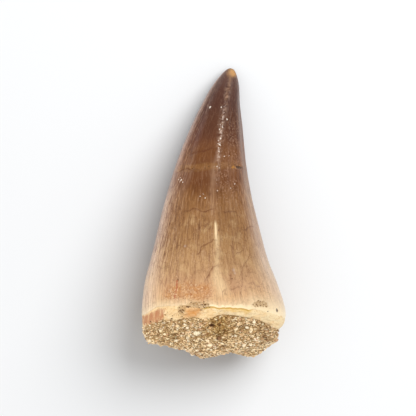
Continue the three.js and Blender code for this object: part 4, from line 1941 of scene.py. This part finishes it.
ROCK_ZONES = (
    # painted shade: the rock just under the cream lip, darker where the lip overhangs it
    Zone(0.9, -18.0, 2.9, "d6c498", 0.9),
    Zone(-6.9, -19.9, 2.2, "e2d4b4", 0.4),
    # painted shade: a dark spot right under the lip's overhang
    Zone(-0.2, -17.9, 0.55, "86603c", 0.9),
    Zone(0.9, -20.0, 0.6, "9a6a45", 0.8),
    Zone(2.2, -19.0, 1.0, "b8a27e", 0.5),
    Zone(7.8, -18.4, 1.3, "b49e7c", 0.6),
    Zone(8.4, -19.9, 1.2, "b49e7c", 0.5),
    Zone(-6.3, -19.8, 0.9, "9c8a68", 0.6),
    Zone(4.4, -18.2, 0.8, "a8946e", 0.6),
)


def tint_zones(f: Finish) -> None:
    """Tints the rock's zones, as seen from above; the two just under the lip are painted shade.

    Args:
        f: The rock's layers.
    """
    flat = f.place * (1.0, 1.0, 0.0)
    wander = f.noise(1.1, 3.0, 0.6) - 0.5
    for zone in ROCK_ZONES:
        away = (flat - (zone.x, zone.y, 0.0)).length() + wander * (ZONE_FRAY * zone.radius)
        f.glaze(away.rise(zone.radius, zone.radius * ZONE_MIDDLE) * zone.share, zone.tint)


@dataclass(frozen=True)
class RockFinish:
    """The brown cement between the grains."""

    tones: Tones = ((0.3, "533a1e"), (0.5, "9c7a4c"), (0.7, "e0be86"))
    roughness: float = 0.85
    relief_depth: float = 0.15

    def build(self) -> bpy.types.Material:
        """Makes the cement's material.

        Returns:
            The material.
        """
        f = Finish("rock")
        grain = f.noise(2.6, 5.0, 0.7)
        f.colour = f.tones(grain, self.tones)
        tint_zones(f)
        f.close(self.roughness, grain, self.relief_depth)
        return f.material


@dataclass(frozen=True)
class GrainFinish:
    """Sand of mixed minerals: each grain has its own tint."""

    name: str
    cloud: str = "9c8460"
    tones: Tones = (
        (0.0, "7a5832"), (0.1, "c09866"), (0.25, "e6c092"), (0.55, "f2d4a4"), (0.75, "fbe4bc"),
        (0.85, "fff1d2"), (0.93, "b8763e"), (1.0, "efe4c2"),
    )
    relief_depth: float = 0.04

    def build(self) -> bpy.types.Material:
        """Makes the sand's material.

        Returns:
            The material.
        """
        f = Finish(self.name)
        mottle = f.noise(4.0, 3.0, 0.6)
        f.colour = f.tones(f.attribute("tint") + mottle.around(0.3), self.tones)
        f.glaze(f.noise(0.8, 3.0, 0.6).rise(0.52, 0.68) * 0.5, self.cloud)
        tint_zones(f)
        f.close(0.4 + mottle * 0.4, mottle, self.relief_depth)
        return f.material


RIM_TONES: Tones = ((0.0, "5c3c1e"), (0.4, "8c6434"), (0.7, "b88c56"), (1.0, "e8cea4"))


# ---------- studio ----------


class Lit(Enum):
    """What a lamp shines on, as the state of the floor in the lamp's list."""

    FLOOR = "INCLUDE"
    TOOTH = "EXCLUDE"


@dataclass(frozen=True)
class Lamp:
    """A round soft lamp over the tooth. Its strength is the light that it gives to a white surface."""

    name: str
    lit: Lit
    direction: Triple
    size: float
    strength: float
    matt: bool = True
    gloss: bool = False
    distance: float = 600.0
    bounces: int = 0
    tint: Triple = (1.0, 1.0, 1.0)

    def build(self, floor: bpy.types.Object) -> None:
        """Makes the lamp.

        Args:
            floor: The floor, which the lamp shines on alone or leaves out.
        """
        data = bpy.data.lights.new(self.name, "AREA")
        data.shape = "DISK"
        data.size = self.size * MM
        data.energy = self.strength * (math.pi * self.distance * MM) ** 2
        data.color = self.tint
        data.cycles.max_bounces = self.bounces
        lamp = make_object(self.name, data)
        direction = Vector(self.direction).normalized()
        lamp.location = direction * self.distance * MM
        lamp.rotation_euler = direction.to_track_quat("Z", "Y").to_euler()
        lamp.visible_diffuse = self.matt
        lamp.visible_glossy = self.gloss
        receivers = bpy.data.collections.new(f"{self.name}_receivers")
        receivers.objects.link(floor)
        receivers.collection_objects[0].light_linking.link_state = self.lit.value
        lamp.light_linking.receiver_collection = receivers


@dataclass(frozen=True)
class Studio:
    """A plain pale floor, soft light, and a camera that looks straight down on the tooth."""

    view_centre: Pair = (-0.84, 0.76)
    view_width: float = 66.56
    focus_height: float = 8.0
    lens: float = 720.0
    sensor: float = 36.0
    floor_size: float = 6000.0
    floor_drop: float = 0.01
    floor_tone: float = 0.9
    floor_roughness: float = 0.9
    sky: float = 0.3
    lamps: tuple[Lamp, ...] = (
        Lamp("window", Lit.FLOOR, (0.5, 0.46, 0.72), 520, 0.87, bounces=1, tint=(0.985, 1.0, 1.015)),
        Lamp("dome", Lit.FLOOR, (0.05, 0.1, 1.0), 2500, 1.55, bounces=1, tint=(0.985, 1.0, 1.015)),
        Lamp("overhead", Lit.TOOTH, (-0.05, 0.15, 1.0), 500, 0.4),
        Lamp("left_fill", Lit.TOOTH, (-0.85, 0.1, 0.5), 400, 0.48),
        Lamp("right_fill", Lit.TOOTH, (0.85, 0.1, 0.5), 400, 0.43),
        Lamp("base_fill", Lit.TOOTH, (-0.1, -0.8, 0.6), 400, 0.44),
        Lamp("satin", Lit.TOOTH, (0.05, 0.6, 0.77), 300, 0.1, matt=False, gloss=True),
    )

    def build(self) -> None:
        """Sets the studio up."""
        floor = self.build_floor()
        self.build_sky()
        for lamp in self.lamps:
            lamp.build(floor)
        self.build_camera()

    def build_floor(self) -> bpy.types.Object:
        """Makes the floor, just under the tooth.

        Returns:
            The floor.
        """
        half, drop = self.floor_size / 2 * MM, self.floor_drop * MM
        corners = [(x, y, -drop) for x, y in ((-half, -half), (half, -half), (half, half), (-half, half))]
        mesh = bpy.data.meshes.new("floor")
        mesh.from_pydata(corners, [], [(0, 1, 2, 3)])
        finish = Finish("floor", (*(self.floor_tone,) * 3, 1.0))
        finish.close(self.floor_roughness, Specular_IOR_Level=0.0)
        mesh.materials.append(finish.material)
        floor = make_object("floor", mesh)
        return floor

    def build_sky(self) -> None:
        """Makes the white surroundings."""
        world = bpy.data.worlds.new("studio")
        world.use_nodes = True
        bpy.context.scene.world = world
        graph = Graph(world.node_tree)
        light = graph.node("ShaderNodeBackground", {}, {"Color": (1.0,) * 4, "Strength": self.sky})
        graph.node("ShaderNodeOutputWorld", {}, {"Surface": light})

    def build_camera(self) -> None:
        """Makes the camera."""
        data = bpy.data.cameras.new("camera")
        data.lens = self.lens
        data.sensor_width = self.sensor
        camera = make_object("camera", data)
        height = self.focus_height + self.view_width * self.lens / self.sensor
        camera.location = Vector((*self.view_centre, height)) * MM
        bpy.context.scene.camera = camera
        bpy.context.scene.view_settings.view_transform = "Standard"


# ---------- the whole ----------


def main() -> None:
    """Builds the tooth and the studio."""
    logging.basicConfig(level=logging.INFO, format="%(name)s: %(message)s")
    form = ToothForm()
    crown = Crown(form).build()
    rock = Rock(form).build()
    sand = GrainFinish("sand").build()
    rim_sand = GrainFinish("rim_sand", tones=RIM_TONES).build()
    MATRIX_SAND.build(rock.data, sand)
    MATRIX_GRIT.build(rock.data, sand)
    NuggetLayer().build(rock, sand)
    RIM_SAND.build(crown.data, rim_sand)
    WALL_SAND.build(crown.data, sand)
    Studio().build()


if __name__ == "__main__":
    main()
